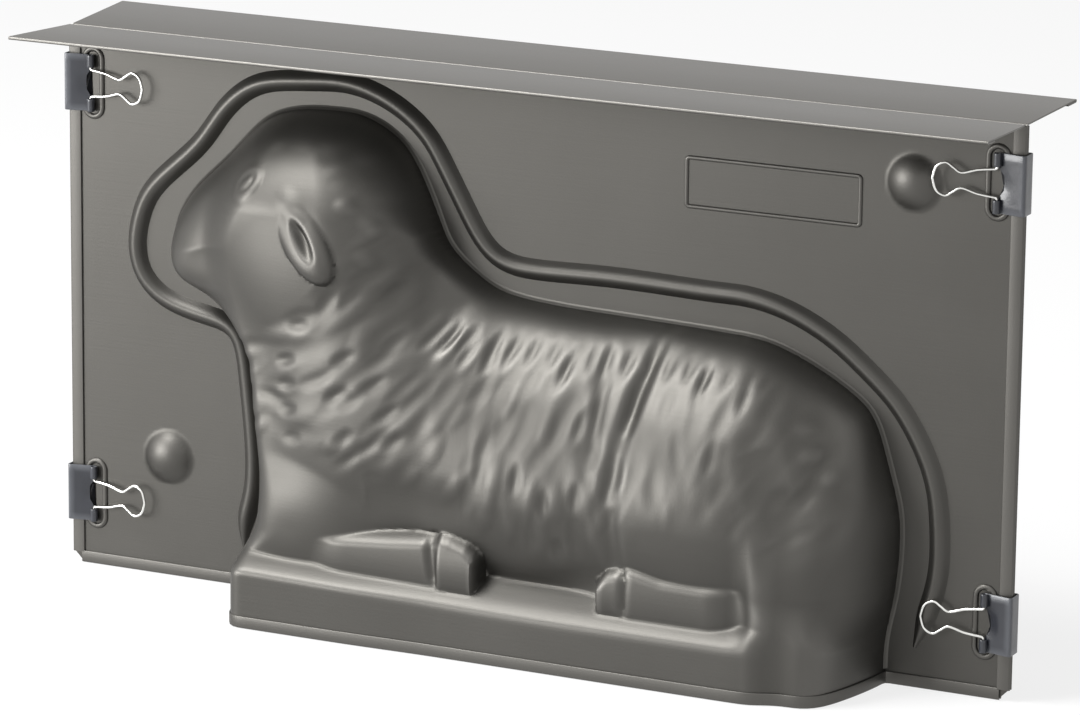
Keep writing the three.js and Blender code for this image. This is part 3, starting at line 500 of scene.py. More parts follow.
# The plinth's front edge lies a little higher at the chest than at the haunch.
PLINTH_RISE, PLINTH_RISE_X = 2.4, (-110.0, 40.0)
SHELF_BLEND = 1.5
SHELF_END_X, SHELF_END_Z = (88.0, 104.0), (34.0, 66.0)
FLUSH_X, FLUSH_LEAN = 97.0, 0.32
LATE_GROOVES = ("fore_fetlock", "hind_fetlock", "tail_groove")
# Slopes that cut the masses back, each a hinge in x and z, the direction in degrees in which it falls away,
# how steeply, the length over which it starts, and the ranges of z and of x over which it sets in.
FALLS = {
    "forehead": (-75.0, 134.0, 92.0, 0.66, 11.0, (110.0, 120.0), (20.0, -20.0)),
    "nape": (-67.0, 150.0, 24.0, 0.44, 11.0, (92.0, 114.0), (-8.0, -38.0)),
    "flank": (20.0, 50.0, 90.0, 0.31, 15.0, (36.0, 46.0), (-34.0, 8.0)),
    "rump": (90.0, 60.0, 12.0, 0.22, 11.0, (10.0, 30.0), (60.0, 80.0)),
}
# Each kind of wall: its full depth, the run over which it reaches it, and its power.
CHEST_WALL = (46.2, 24.0, 0.5)
BACK_WALL = (44.0, 38.0, 0.75)
FACE_WALL = (29.5, 30.0, 0.75)
JAW_WALL = (33.0, 24.0, 0.5)
PLINTH_END_X, PLINTH_END_RUNS = [-60.0, 60.0], [9.0, 16.0]
BACK_X, CROWN_Z = (-50.0, -10.0), (120.0, 140.0)
FACE_X, FACE_Z, JAW_Z = (-108.0, -80.0), (88.0, 104.0), (104.0, 120.0)
WALL_BLEND, FACE_BLEND = 7.0, 9.0
# A blend is never wider than a few times the wall's own depth, nor zero.
BLEND_LIMIT, LEAST_BLEND = 4, 0.01
# The form is never cut back to less than this share of the wall, so it always rises from the outline.
LEAST_SHARE = 0.45
SCALLOP = 0.8
BACK_EDGE = (3.0, 14.0)
CHEST_X, THROAT_Z = (-62, -52), (104, 112)
ROUGH_Z, ROUGH_EDGE = (50, 60), (0, 3)


def sculpted(x, z, wool):
    """The carved surface, before the wall at the outline cuts it off. Right of the hind leg the rump comes
    down flush with the plinth's front."""
    depth = body_masses(x, z)
    depth = depth + sum(groove(x, z, *values) for name, values in GROOVES.items() if name not in LATE_GROOVES)
    for hinge_x, hinge_z, degrees, slope, start, z_range, x_range in FALLS.values():
        beyond = np.maximum(0, turned(x, z, hinge_x, hinge_z, degrees)[0])
        sets_in = smooth_step(*z_range, z) * smooth_step(*x_range, x)
        depth = depth - slope * beyond**2 / (beyond + start) * sets_in
    depth = depth + wool
    front_edge = PLINTH_HEIGHT + PLINTH_RISE * (1 - smooth_step(*PLINTH_RISE_X, x))
    shelf = rounded_min(PLINTH_DEPTH, PLINTH_DEPTH - PLINTH_SLOPE * (z - front_edge), SHELF_BLEND)
    depth = rounded_max(depth, shelf, LIMB_BLEND)
    for values in SLABS.values():
        depth = rounded_max(depth, slab(x, z, *values), LIMB_BLEND)
    flush = smooth_step(*SHELF_END_X, x) * (1 - smooth_step(*SHELF_END_Z, z))
    flush_depth = PLINTH_DEPTH - SHEET - FLUSH_LEAN * np.maximum(0, x - FLUSH_X)
    depth = depth + flush * (flush_depth - depth)
    depth = depth + sum(groove(x, z, *GROOVES[name]) for name in LATE_GROOVES)
    depth = depth + ear(x, z, *EAR) + sum(mark(x, z, *values) for values in MARKS.values())
    return rounded_min(depth, PLINTH_DEPTH + SHEET / 2, SHEET)


def lamb_depth(x, z):
    """The sculpted depth under a wall, which is full times a power of 1 minus the squared share of its run
    still to go. There are four kinds of wall, mixed by place: steep on the chest and under the jaw, long and
    soft on the back and the face. Low down the run is short at both ends. The wool dents the wall's edge on
    the chest and fades out before the edge everywhere else."""
    inside = inside_outline(x, z)
    on_chest = (1 - smooth_step(*CHEST_X, x)) * (1 - smooth_step(*THROAT_Z, z))
    wool = wool_dabs(x, z) * wool_amount(x, z)
    wool = wool * np.maximum(on_chest, smooth_step(*BACK_EDGE, inside))
    rough = SCALLOP * wool * on_chest * smooth_step(*ROUGH_Z, z) * smooth_step(*ROUGH_EDGE, inside)
    face = (1 - smooth_step(*FACE_X, x)) * smooth_step(*FACE_Z, z)
    back = np.maximum(smooth_step(*BACK_X, x), smooth_step(*CROWN_Z, z))[..., None]
    above_jaw = smooth_step(*JAW_Z, z)[..., None]
    kind = np.array(CHEST_WALL) + back * np.subtract(BACK_WALL, CHEST_WALL)
    on_face = np.array(JAW_WALL) + above_jaw * np.subtract(FACE_WALL, JAW_WALL)
    full, run, power = np.moveaxis(kind + face[..., None] * (on_face - kind), -1, 0)
    end_run = np.interp(x, PLINTH_END_X, PLINTH_END_RUNS)
    run = end_run + (run - end_run) * smooth_step(PLINTH_HEIGHT, 2 * PLINTH_HEIGHT, z)
    to_go = 1 - np.clip(inside + rough, 0, run) / run
    wall = full * np.maximum(0, 1 - to_go**2) ** power
    blend = np.minimum(WALL_BLEND + FACE_BLEND * face, BLEND_LIMIT * wall + LEAST_BLEND)
    least_blend = np.minimum(WALL_BLEND, wall + LEAST_BLEND)
    form = rounded_max(sculpted(x, z, wool), LEAST_SHARE * wall, least_blend)
    return np.maximum(0, rounded_min(wall, form, blend))


def dome_depth(x, z, play):
    """The locating domes: low caps, less a little play on the half whose domes nest inside the others."""
    depth = np.zeros(np.shape(x))
    for dome_x, dome_z in DOMES:
        share = np.minimum(1, np.hypot(x - dome_x, z - dome_z) / (DOME_RADIUS - play))
        depth = np.maximum(depth, (DOME_HEIGHT - play) * (1 - share**DOME_FULLNESS) ** DOME_POWER)
    return depth


# %% [markdown]
# ## A grid that follows the form
#
# The depth is sampled on a grid over the plate. Even steps would miss the steep foot of the walls, so the
# grid is drawn in towards the outline there, and it is coarse on the flat margins. The inner face of the
# sheet takes every second point, which keeps the mesh light.

# %% Grid over the plate
MARGIN_STEP = 4.5
FINE_HALF_WIDTH = 149.0
# Where each zone of columns or rows ends, and the cell size in it. The head and the legs have the finest
# cells.
COLUMN_ZONES = [(-100.0, 1.0), (-46.0, 0.65), (-18.0, 1.0), (4.0, 0.65), (FINE_HALF_WIDTH, 1.0)]
ROW_ZONES = [(16.5, 1.0), (43.0, 0.6), (108.0, 1.1), (148.0, 0.7), (TOP_Z, 1.1)]
SQUEEZE, SQUEEZE_IN, SQUEEZE_OUT = 0.42, 12.0, 6.0
SNAP_SHARE = 0.52
SLOPE_STEP, LEAST_STEEPNESS = 0.05, 0.5
# Points this close to the rim keep their height, and a little above it they move only part of the way.
RIM_HOLD, RIM_FADE = 0.1, 5.0


def even_cells(start, end, step):
    """Evenly spaced values with an even number of cells of about the given step."""
    return np.linspace(start, end, 2 * max(1, round(abs(end - start) / step / 2)) + 1)


def zoned_cells(start, zones):
    """Values from a start through zones, each evenly spaced with its own step."""
    values = np.array([start])
    for end, step in zones:
        values = np.concatenate([values, even_cells(values[-1], end, step)[1:]])
    return values


def squeezed(distance):
    """Draws distances in towards zero: near it each is cut to a small share, and past the squeezed zone it is
    left alone. Inside the zone the share grows evenly with the distance."""
    zone = np.where(distance > 0, SQUEEZE_IN, SQUEEZE_OUT)
    share = np.minimum(1, np.abs(distance) / zone)
    return distance * (SQUEEZE + (1 - SQUEEZE) * share)


def snapped(x, z):
    """Moves each grid point that is nearest to the outline onto it: a point moves if its distance is at
    most about half the change of distance to its neighbours, so no edge of the grid is left crossing the
    outline."""
    inside = inside_outline(x, z)
    step = np.maximum(np.abs(np.gradient(inside, axis=0)), np.abs(np.gradient(inside, axis=1)))
    near = np.abs(inside) <= SNAP_SHARE * step
    near_x, near_z, distance = x[near], z[near], inside[near]
    slope_x = (inside_outline(near_x + SLOPE_STEP, near_z) - distance) / SLOPE_STEP
    slope_z = (inside_outline(near_x, near_z + SLOPE_STEP) - distance) / SLOPE_STEP
    steep = np.maximum(slope_x**2 + slope_z**2, LEAST_STEEPNESS)
    hold = near_z > BOTTOM_Z + RIM_HOLD
    x[near] -= distance * slope_x / steep
    z[near] -= distance * slope_z / steep * hold
    return x, z


def plate_grid():
    """Grid points x and z over one half, with the lower corners cut and the columns drawn to the outline."""
    fine = zoned_cells(-FINE_HALF_WIDTH, COLUMN_ZONES)
    cut = even_cells(-SIDE_X, -SIDE_X + CORNER_CUT, CORNER_CUT / 2)
    margin = even_cells(-SIDE_X + CORNER_CUT, -FINE_HALF_WIDTH, MARGIN_STEP)
    left = np.concatenate([cut, margin[1:-1]])
    columns = np.concatenate([left, fine, -left[::-1]])
    low_rows = even_cells(BOTTOM_Z, BOTTOM_Z + CORNER_CUT, CORNER_CUT / 4)
    rows = np.concatenate([low_rows, zoned_cells(BOTTOM_Z + CORNER_CUT, ROW_ZONES)[1:]])
    x, z = np.meshgrid(columns, rows)
    inside = inside_outline(x, z)
    slope_z, slope_x = np.gradient(inside, rows, columns)
    steep = np.maximum(np.hypot(slope_x, slope_z), LEAST_STEEPNESS)
    shift = (squeezed(inside) - inside) / steep
    z_hold = smooth_step(BOTTOM_Z, BOTTOM_Z + RIM_FADE, z)
    x, z = snapped(x + shift * slope_x, z + shift * slope_z * z_hold)
    from_side = np.maximum(0, CORNER_CUT - (SIDE_X - np.abs(x)))
    from_foot = np.maximum(0, CORNER_CUT - (z - BOTTOM_Z))
    shrink = np.maximum(from_side, from_foot) / np.maximum(from_side + from_foot, 1e-9)
    pull = np.where((from_side > 0) & (from_foot > 0), 1 - shrink, 0)
    return x - np.sign(x) * from_side * pull, z + from_foot * pull


grid_x, grid_z = plate_grid()
plate_depth = lamb_depth(grid_x, grid_z)
print("grid:", grid_x.shape, "points, deepest", plate_depth.max().round(2), "mm")

# %% [markdown]
# ## Making meshes
#
# A piece is a list of parts, and a part is points, faces and how much each point is paled. This is kept on the
# mesh as an attribute that the material reads: crests and fold edges are rubbed, hollows are not, and the
# whole foot along the top is painted paler, as painted light for its lit top face.

# %% Mesh helpers
SMOOTH_BELOW = np.radians(40)
BEND_STEPS, CAP_STEPS, SECTION_SIDES = 6, 4, 12


def unit(vectors):
    """The same directions, each with length 1."""
    return vectors / np.linalg.norm(vectors, axis=-1, keepdims=True)


def lift(line):
    """Flat points or directions x, y given a third coordinate of zero."""
    return np.insert(line, 2, 0, axis=1)


def stood(line, depth):
    """Flat points or directions x, z stood upright at a depth y."""
    return np.insert(line, 1, depth, axis=1)


def grid_faces(rows, columns, wrap=False):
    """Four-sided faces over a grid of points, in reading order. With wrap the last column joins the first."""
    across = np.arange(columns if wrap else columns - 1)
    a = np.arange(rows - 1)[:, None] * columns + across
    b = np.arange(rows - 1)[:, None] * columns + (across + 1) % columns
    return np.stack([a, b, b + columns, a + columns], axis=-1).reshape(-1, 4)


def make_piece(name, parts, material, body, slot, *replaced):
    """Joins the parts in one mesh, in metres, at the origin, and lets it ride on a body of the frame."""
    points, faces, wear, start = [], [], [], 0
    for part_points, part_faces, part_wear in parts:
        flat = np.asarray(part_points, float).reshape(-1, 3)
        points.append(flat)
        wear.append(np.broadcast_to(np.asarray(part_wear, float).ravel(), len(flat)))
        faces += [[index + start for index in face] for face in part_faces]
        start += len(flat)
    mesh = bpy.data.meshes.new(name)
    mesh.from_pydata(np.concatenate(points) * MM, [], faces)
    # This attribute holds wear, and on the foot also painted light: a paler tone that stands in for the light
    # on its top.
    mesh.attributes.new("wear", "FLOAT", "POINT").data.foreach_set("value", np.concatenate(wear))
    mesh.polygons.foreach_set("use_smooth", np.ones(len(mesh.polygons), bool))
    mesh.set_sharp_from_angle(angle=SMOOTH_BELOW)
    mesh.materials.append(material)
    piece = bpy.data.objects.new(name, mesh)
    bpy.context.scene.collection.objects.link(piece)
    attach(piece, body)
    if replaced:
        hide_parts(*replaced)
    print("made", name, "with", len(mesh.polygons), "faces")
    return piece


def carry(section, path, out, beyond, closed=False, slant=(0, 0), wear=0, grow=1):
    """Carries a closed flat section along a path: each point is the path's point plus the section's first
    value times the out direction plus its second times the beyond direction. Open ends get a cap, slant
    shifts the first and last ring along the path in proportion to the section's values, and grow scales
    each ring."""
    path, out, beyond = (np.broadcast_to(v, np.shape(path)).astype(float) for v in (path, out, beyond))
    rings = np.broadcast_to(grow, len(path))[:, None, None] * section
    grid = path[:, None] + rings[..., :1] * out[:, None] + rings[..., 1:] * beyond[:, None]
    for end, inner in ((0, 1), (-1, -2)):
        way = path[end] - path[inner]
        shift = section @ np.asarray(slant, float)
        grid[end] += shift[:, None] * way / np.linalg.norm(way)
    count, ring = grid.shape[:2]
    if closed:
        grid = np.concatenate([grid, grid[:1]])
        faces = (grid_faces(count + 1, ring, wrap=True) % (count * ring)).tolist()
        grid = grid[:-1]
    else:
        faces = grid_faces(count, ring, wrap=True).tolist()
        faces += [list(range(ring))[::-1], list(range((count - 1) * ring, count * ring))]
    return grid, faces, np.broadcast_to(wear, (len(grid), ring))


def outward(part):
    """Turns a carried part's faces over if they point in, told by the sign of its volume: the sum of each
    triangle's corner products over six."""
    grid, faces, wear = part
    p = grid.reshape(-1, 3)
    p = p - p.mean(axis=0)
    volume = sum(
        np.dot(p[f[0]], np.cross(p[f[k]], p[f[k + 1]])) for f in faces for k in range(1, len(f) - 1)
    )
    return grid, (faces if volume > 0 else [f[::-1] for f in faces]), wear


def ribbon(middle):
    """A closed section of sheet round a line: the line shifted half the sheet each way, with round ends."""
    way = unit(np.gradient(middle, axis=0))
    side = np.stack([way[:, 1], -way[:, 0]], axis=1) * SHEET / 2
    turn = np.linspace(0, np.pi, CAP_STEPS + 2)[1:-1, None]
    last_cap = middle[-1] + side[-1] * np.cos(turn) + way[-1] * SHEET / 2 * np.sin(turn)
    first_cap = middle[0] - side[0] * np.cos(turn) - way[0] * SHEET / 2 * np.sin(turn)
    return np.vstack([middle + side, last_cap, (middle - side)[::-1], first_cap])


def arc(centre, radius, start, end, steps):
    """Points on a round arc between two angles in degrees."""
    turn = np.radians(np.linspace(start, end, steps + 1))
    return np.asarray(centre) + radius * np.stack([np.cos(turn), np.sin(turn)], axis=1)


def frame_along(line):
    """The direction across a flat line at each of its points: the line's own direction turned a quarter."""
    way = unit(np.gradient(line, axis=0))
    return np.stack([-way[:, 1], way[:, 0]], axis=1)


def oval_section(half_width, height):
    """An oval section about the line that it is carried along."""
    turn = np.linspace(0, 2 * np.pi, SECTION_SIDES, endpoint=False)
    return np.stack([height * np.cos(turn), half_width * np.sin(turn)], axis=1)


# %% [markdown]
# ## Shader maths
#
# Materials are built from nodes. A small class wraps a node's output, so that sums and products of outputs
# can be written as plain Python, and each adds its own Math node.

# %% Node recipe


class Wire:
    """An output of a node. Arithmetic with numbers and other wires adds Math nodes to the same recipe."""

    def __init__(self, recipe, socket):
        self.recipe, self.socket = recipe, socket

    def maths(self, operation, first, second):
        return self.recipe.node("ShaderNodeMath", {0: first, 1: second}, operation=operation)

    def __add__(self, other):
        return self.maths("ADD", self, other)

    def __sub__(self, other):
        return self.maths("SUBTRACT", self, other)

    def __rsub__(self, other):
        return self.maths("SUBTRACT", other, self)

    def __mul__(self, other):
        return self.maths("MULTIPLY", self, other)

    __radd__, __rmul__ = __add__, __mul__


class Recipe:
    """A material and the nodes that make it."""

    def __init__(self, name, **constants):
        self.material = bpy.data.materials.new(name)
        self.material.use_nodes = True
        self.tree = self.material.node_tree
        self.shader = self.tree.nodes["Principled BSDF"]
        for socket, value in constants.items():
            self.shader.inputs[socket.replace("_", " ")].default_value = value

    def node(self, kind, inputs=None, output=0, stops=None, **settings):
        """Adds a node: its settings first, then a ramp's stops, then the values or links of its sockets."""
        made = self.tree.nodes.new(kind)
        for setting, value in settings.items():
            setattr(made, setting, value)
        if stops:
            made.color_ramp.elements[0].position, made.color_ramp.elements[1].position = stops
        for socket, value in (inputs or {}).items():
            if isinstance(value, Wire):
                self.tree.links.new(value.socket, made.inputs[socket])
            else:
                made.inputs[socket].default_value = value
        return Wire(self, made.outputs[output])

    def noise(self, place, scale, detail):
        return self.node("ShaderNodeTexNoise", {"Vector": place, "Scale": scale, "Detail": detail})

    def mix(self, share, first, second):
        """Mixes two colours. Sockets 6 and 7 and output 2 are the Mix node's own for colours."""
        return self.node("ShaderNodeMix", {0: share, 6: first, 7: second}, output=2, data_type="RGBA")

    def feed(self, **wires):
        for socket, wire in wires.items():
            self.tree.links.new(wire.socket, self.shader.inputs[socket.replace("_", " ")])

    def relief(self, height, distance):
        """Feeds the shader's Normal from a Bump node. The distance is in metres."""
        inputs = {"Height": height, "Distance": distance, "Strength": 1.0}
        self.feed(Normal=self.node("ShaderNodeBump", inputs))


# %% [markdown]
# ## The coating
#
# The sheet has a dark warm grey non-stick coating, satin and slightly uneven: cloudy over hands' breadths,
# with a fine grain like orange peel and faint lines along the rolling direction. It is rubbed a little
# brighter on crests and folds. The whole foot along the top is painted paler still: painted light that
# stands in for the light on its top face.

# %% Coated sheet


def coated_sheet():
    """Dark satin coating: two close greys mixed by cloudy noise, paler where worn and on the painted-light
    foot, with a fine grain.
    """
    recipe = Recipe("coated_sheet", Metallic=0.92, IOR=1.45)
    place = recipe.node("ShaderNodeTexCoord", output="Object")
    stretched = recipe.node("ShaderNodeMapping", {"Vector": place, "Scale": (6.0, 6.0, 420.0)})
    clouds = recipe.noise(place, 16.0, 4)
    grain = recipe.noise(place, 1500.0, 2)
    lines = recipe.noise(stretched, 3.0, 3)
    waves = recipe.noise(place, 9.0, 1)
    wear = recipe.node("ShaderNodeAttribute", output="Fac", attribute_name="wear")
    colour = recipe.mix(clouds, (0.066, 0.0635, 0.058, 1), (0.085, 0.082, 0.0755, 1))
    # Paler where the attribute is high: wear on crests and folds, and on the foot a painted paler tone that
    # stands in for its lit top face.
    recipe.feed(Base_Color=recipe.mix(wear * 0.4, colour, (0.26, 0.25, 0.235, 1)))
    recipe.feed(Roughness=0.4 + clouds * 0.07 + grain * 0.04 + lines * 0.03 - wear * 0.04)
    recipe.relief(grain * 0.05 + lines * 0.04 + waves * 1.2, 0.0004)
    return recipe.material


sheet_material = coated_sheet()

# %% [markdown]
# ## One half of the mould
#
# The middle of the sheet is the grid pushed out by its depth. Both faces lie half a thickness to either side,
# along the normal. A band joins them round the border, and every edge is then folded: hems at the sides and
# along the rim, and a wide foot along the top, with a hem of its own.

# %% Faces of the sheet
STEP_HEIGHT = 1.5
# Wear for each turn of the surface, and the most that it comes to.
BEND_WEAR, MOST_WEAR = 1.1, 0.6


def border(grid):
    """The values round the border of a grid, once round."""
    return np.concatenate([grid[0, :-1], grid[:-1, -1], grid[-1, :0:-1], grid[:0:-1, 0]])


def split_at_steps(faces, depth):
    """Splits each face that spans a step into two triangles, along the diagonal with the lesser change of
    depth, which is the one that follows the foot of the wall."""
    a, b, c, d = faces.T
    stepped = np.ptp(depth[faces], axis=1) > STEP_HEIGHT
    along = np.abs(depth[a] - depth[c]) <= np.abs(depth[b] - depth[d])
    one = faces[stepped & along]
    other = faces[stepped & ~along]
    return [faces[~stepped], one[:, [0, 1, 2]], one[:, [0, 2, 3]], other[:, [0, 1, 3]], other[:, [1, 2, 3]]]


def sheet_body(side, dome_side, play):
    """Outer face, inner face and border band of one half. side is -1 for the front and 1 for the rear."""
    depth = plate_depth + dome_side * dome_depth(grid_x, grid_z, play)
    middle = np.stack([grid_x, side * (SHEET_MIDDLE + depth), grid_z], axis=-1)
    normal = np.cross(np.gradient(middle, axis=1), np.gradient(middle, axis=0)) * -side
    normal *= side * np.sign(normal[..., 1:2].sum()) / np.linalg.norm(normal, axis=-1)[..., None]
    outer = middle + normal * SHEET / 2
    inner = (middle - normal * SHEET / 2)[::2, ::2]
    bend = (np.gradient(normal, axis=1) * np.gradient(middle, axis=1)).sum(-1)
    bend += (np.gradient(normal, axis=0) * np.gradient(middle, axis=0)).sum(-1)
    wear = np.clip(bend * BEND_WEAR, 0, MOST_WEAR) * smooth_step(0.0, 1.0, depth)
    rows, columns = outer.shape[:2]
    low_rows, low_columns = inner.shape[:2]
    index = np.arange(rows * columns).reshape(rows, columns)
    low_index = np.arange(low_rows * low_columns).reshape(low_rows, low_columns) + rows * columns
    fine, coarse = border(index), border(low_index)
    band = np.stack([fine[::2], fine[1::2], np.roll(fine, -2)[::2], np.roll(coarse, -1), coarse], axis=1)
    outer_faces = split_at_steps(grid_faces(rows, columns), depth.ravel())
    inner_faces = grid_faces(low_rows, low_columns)[:, ::-1] + rows * columns
    faces = [face for group in (*outer_faces, inner_faces, band[:, ::-1]) for face in group.tolist()]
    if side > 0:
        faces = [face[::-1] for face in faces]
    points = np.concatenate([outer.reshape(-1, 3), inner.reshape(-1, 3)])
    all_wear = np.concatenate([wear.ravel(), np.zeros(inner.shape[0] * inner.shape[1])])
    return (points, faces, all_wear), middle


# %% Folded edges
FOLD_RADIUS = HEM_OFFSET / 2
FLANGE_BEND = 0.9
ROOT_STEPS, FOLD_STEPS = 5, 8
FLANGE_ROOT = 1.5
HEM_RINGS, FLANGE_RINGS = 12, 30
# The rim's line is about 1.3 times as long as the plate is wide, because it goes round the lamb's foot.
HEM_PATH_STEP, RIM_LENGTH_SHARE, RIM_PLAY = 2.2, 1.3, 0.01
# How much the hems and the foot are paled. The foot's value is painted light as well as wear: its whole face is
# made paler to stand in for the light that its top catches.
HEM_WEAR, FLANGE_WEAR_AND_PAINTED_LIGHT = 0.35, 0.85


def hem_section(width):
    """A hem's section: the sheet turned back on itself round a half circle, with a round free edge."""
    turn = arc((FOLD_RADIUS, EDGE_INSET - FOLD_RADIUS - SHEET / 2), FOLD_RADIUS, 180, 0, BEND_STEPS)
    start, end = (0, -SHEET), (HEM_OFFSET, EDGE_INSET - width + SHEET / 2)
    return ribbon(np.vstack([start, turn, end]))


def flange_section():
    """The foot's section: out from the top edge over a small bend, tilted up, and folded back."""
    top = HEM_OFFSET - SHEET / 2
    out = np.array([np.cos(FLANGE_TILT), np.sin(FLANGE_TILT)])
    under = np.array([out[1], -out[0]])
    root = arc((FLANGE_BEND, top - FLANGE_BEND), FLANGE_BEND, 180, 90 + np.degrees(FLANGE_TILT), ROOT_STEPS)
    tip = root[-1] + out * (FLANGE_DEPTH - FLANGE_BEND - FOLD_RADIUS - SHEET / 2)
    turns = np.linspace(0, np.pi, FOLD_STEPS)[1:, None]
    fold = tip + under * FOLD_RADIUS - under * FOLD_RADIUS * np.cos(turns) + out * FOLD_RADIUS * np.sin(turns)
    back = fold[-1] - out * (FLANGE_HEM - FOLD_RADIUS)
    return ribbon(np.vstack([[0, -FLANGE_ROOT], root, tip, fold, back]))


def folded_edges(side, middle):
    """The hems of both sides and the rim, and the foot along the top."""
    out = np.array([0, side, 0])
    base_y = side * SHEET_MIDDLE
    parts = []
    for hand in (-1, 1):
        heights = np.linspace(BOTTOM_Z + CORNER_CUT, TOP_Z, HEM_RINGS)
        path = np.array([[hand * SIDE_X, base_y, z] for z in heights])
        parts.append(outward(carry(hem_section(SIDE_HEM), path, out, [hand, 0, 0], wear=HEM_WEAR)))
    cut_x = SIDE_X - CORNER_CUT
    rim = middle[0]
    rim = rim[np.abs(rim[:, 0]) <= cut_x + RIM_PLAY]
    rim = evenly_along(rim, round(2 * cut_x / HEM_PATH_STEP * RIM_LENGTH_SHARE))
    rim[1:-1] = (rim[:-2] + rim[1:-1] * 2 + rim[2:]) / 4
    rim[:, 2] = BOTTOM_Z
    rim_out = lift(frame_along(rim[:, :2]) * side)
    parts.append(outward(carry(hem_section(BOTTOM_HEM), rim, rim_out, [0, 0, -1], wear=HEM_WEAR)))
    path = np.array([[x, base_y, TOP_Z] for x in np.linspace(-SIDE_X, SIDE_X, FLANGE_RINGS)])
    flare = FLANGE_FLARE / FLANGE_DEPTH
    # The foot is made paler all over: painted light for its lit top face, besides wear at the fold.
    parts.append(outward(carry(flange_section(), path, out, [0, 0, 1], slant=(flare, 0), wear=FLANGE_WEAR_AND_PAINTED_LIGHT)))
    return parts


# %% [markdown]
# ## Pressed outlines
#
# Round the lips of each clip the plate has a low raised ring, and at the upper right a plain raised panel.
# These are narrower than the grid can follow, so each is a low rounded bead carried along its own path.

# %% Rings and panel
FOOT_FILLET = 1.2
RING_PLACE_X, RING_WIDTH, RING_LENGTH = 159.4, 6.4, 22.6
CLIP_LEVELS = {"lower": 0.134 * PLATE_HEIGHT, "upper": 0.897 * PLATE_HEIGHT}
PANEL = (84.6, 153.5, 59.0, 15.6)
PANEL_CORNER, CORNER_POINTS = 1.0, 7
# Half width and height of the beads round a clip's lips and round the panel. Both are sunk in by as much.
RING_BEAD, PANEL_BEAD = (0.95, 0.8), (0.7, 0.55)
BEAD_POINTS, BEAD_POWER = 15, 1.25
BEAD_FADE_Z, LEAST_BEAD = (8, 26), 0.02
LOOP_WEAR, LINE_WEAR = 0.25, 0.1


def rounded_loop(centre_x, centre_z, width, height, radius):
    """A closed path round a rectangle with round corners, with the outward direction at each point."""
    points, ways = [], []
    for k, (sx, sz) in enumerate(((1, 1), (-1, 1), (-1, -1), (1, -1))):
        turn = np.radians(np.linspace(90 * k, 90 * k + 90, CORNER_POINTS))
        way = np.stack([np.cos(turn), np.sin(turn)], axis=1)
        corner = (centre_x + sx * (width / 2 - radius), centre_z + sz * (height / 2 - radius))
        points.append(corner + radius * way)
        ways.append(way)
    return np.concatenate(points), np.concatenate(ways)


def bead_section():
    """The bead's closed section: height times 1 minus the squared share of the half width, to a power."""
    share = np.linspace(-1, 1, BEAD_POINTS)
    top = np.stack([BEAD_HEIGHT * (1 - share**2) ** BEAD_POWER, BEAD_HALF_WIDTH * share], axis=1)
    return np.vstack([top, [[-SHEET / 2, BEAD_HALF_WIDTH], [-SHEET / 2, -BEAD_HALF_WIDTH]]])


def fillet_section():
    """A hollow quarter round that fills the corner between the plate and the lamb's wall."""
    hollow = arc((FOOT_FILLET, FOOT_FILLET), FOOT_FILLET, 180, 270, BEND_STEPS)[:, ::-1]
    return np.vstack([hollow, [[FOOT_FILLET, -SHEET], [-SHEET / 2, -SHEET], [-SHEET / 2, FOOT_FILLET]]])


def on_plate(side, line, across, section, **options):
    """A section carried along a flat line on the outer face of one half."""
    path = stood(line, side * (SHEET_MIDDLE + SHEET / 2))
    return outward(carry(section, path, [0, side, 0], stood(across, 0), **options))


def pressed_outlines(side):
    """The bead, the fillet at the foot of the lamb's wall, the rings at the four clips, and on the front the
    bare panel. The bead shrinks to nothing towards the rim, so both its ends are pointed."""
    foot_line = outline[outline[:, 1] > BOTTOM_HEM]
    fade = np.maximum(LEAST_BEAD, smooth_step(*BEAD_FADE_Z, bead_line[:, 1]))
    parts = [
        on_plate(side, bead_line, frame_along(bead_line), bead_section(), grow=fade, wear=LINE_WEAR),
        on_plate(side, foot_line, frame_along(foot_line), fillet_section(), wear=LINE_WEAR),
    ]
    places = [(hand * RING_PLACE_X, level) for level in CLIP_LEVELS.values() for hand in (-1, 1)]
    loops = [(rounded_loop(*place, RING_WIDTH, RING_LENGTH, RING_WIDTH / 2), RING_BEAD) for place in places]
    if side < 0:
        loops.append((rounded_loop(*PANEL, PANEL_CORNER), PANEL_BEAD))
    for (points, ways), bead in loops:
        parts.append(on_plate(side, points, ways, oval_section(*bead), closed=True, wear=LOOP_WEAR))
    return parts


# %% Both halves
for half, side in (("front", -1), ("rear", 1)):
    body_part, middle = sheet_body(side, 1 if side < 0 else -1, 0 if side < 0 else DOME_PLAY)
    parts = [body_part, *folded_edges(side, middle), *pressed_outlines(side)]
    make_piece(f"{half}_half", parts, sheet_material, "mould", "coated_sheet", f"{half}_shell")

# %% [markdown]
# ## Foldback clips
#
# A foldback clip is one piece of spring steel: a spine, two leaves that lean together, and at each lip two
# rolled tubes with a notch between them. The leaf is a rounded section as long as the clip, carried along the
# bent line. The tubes are the same sheet carried round most of a circle.

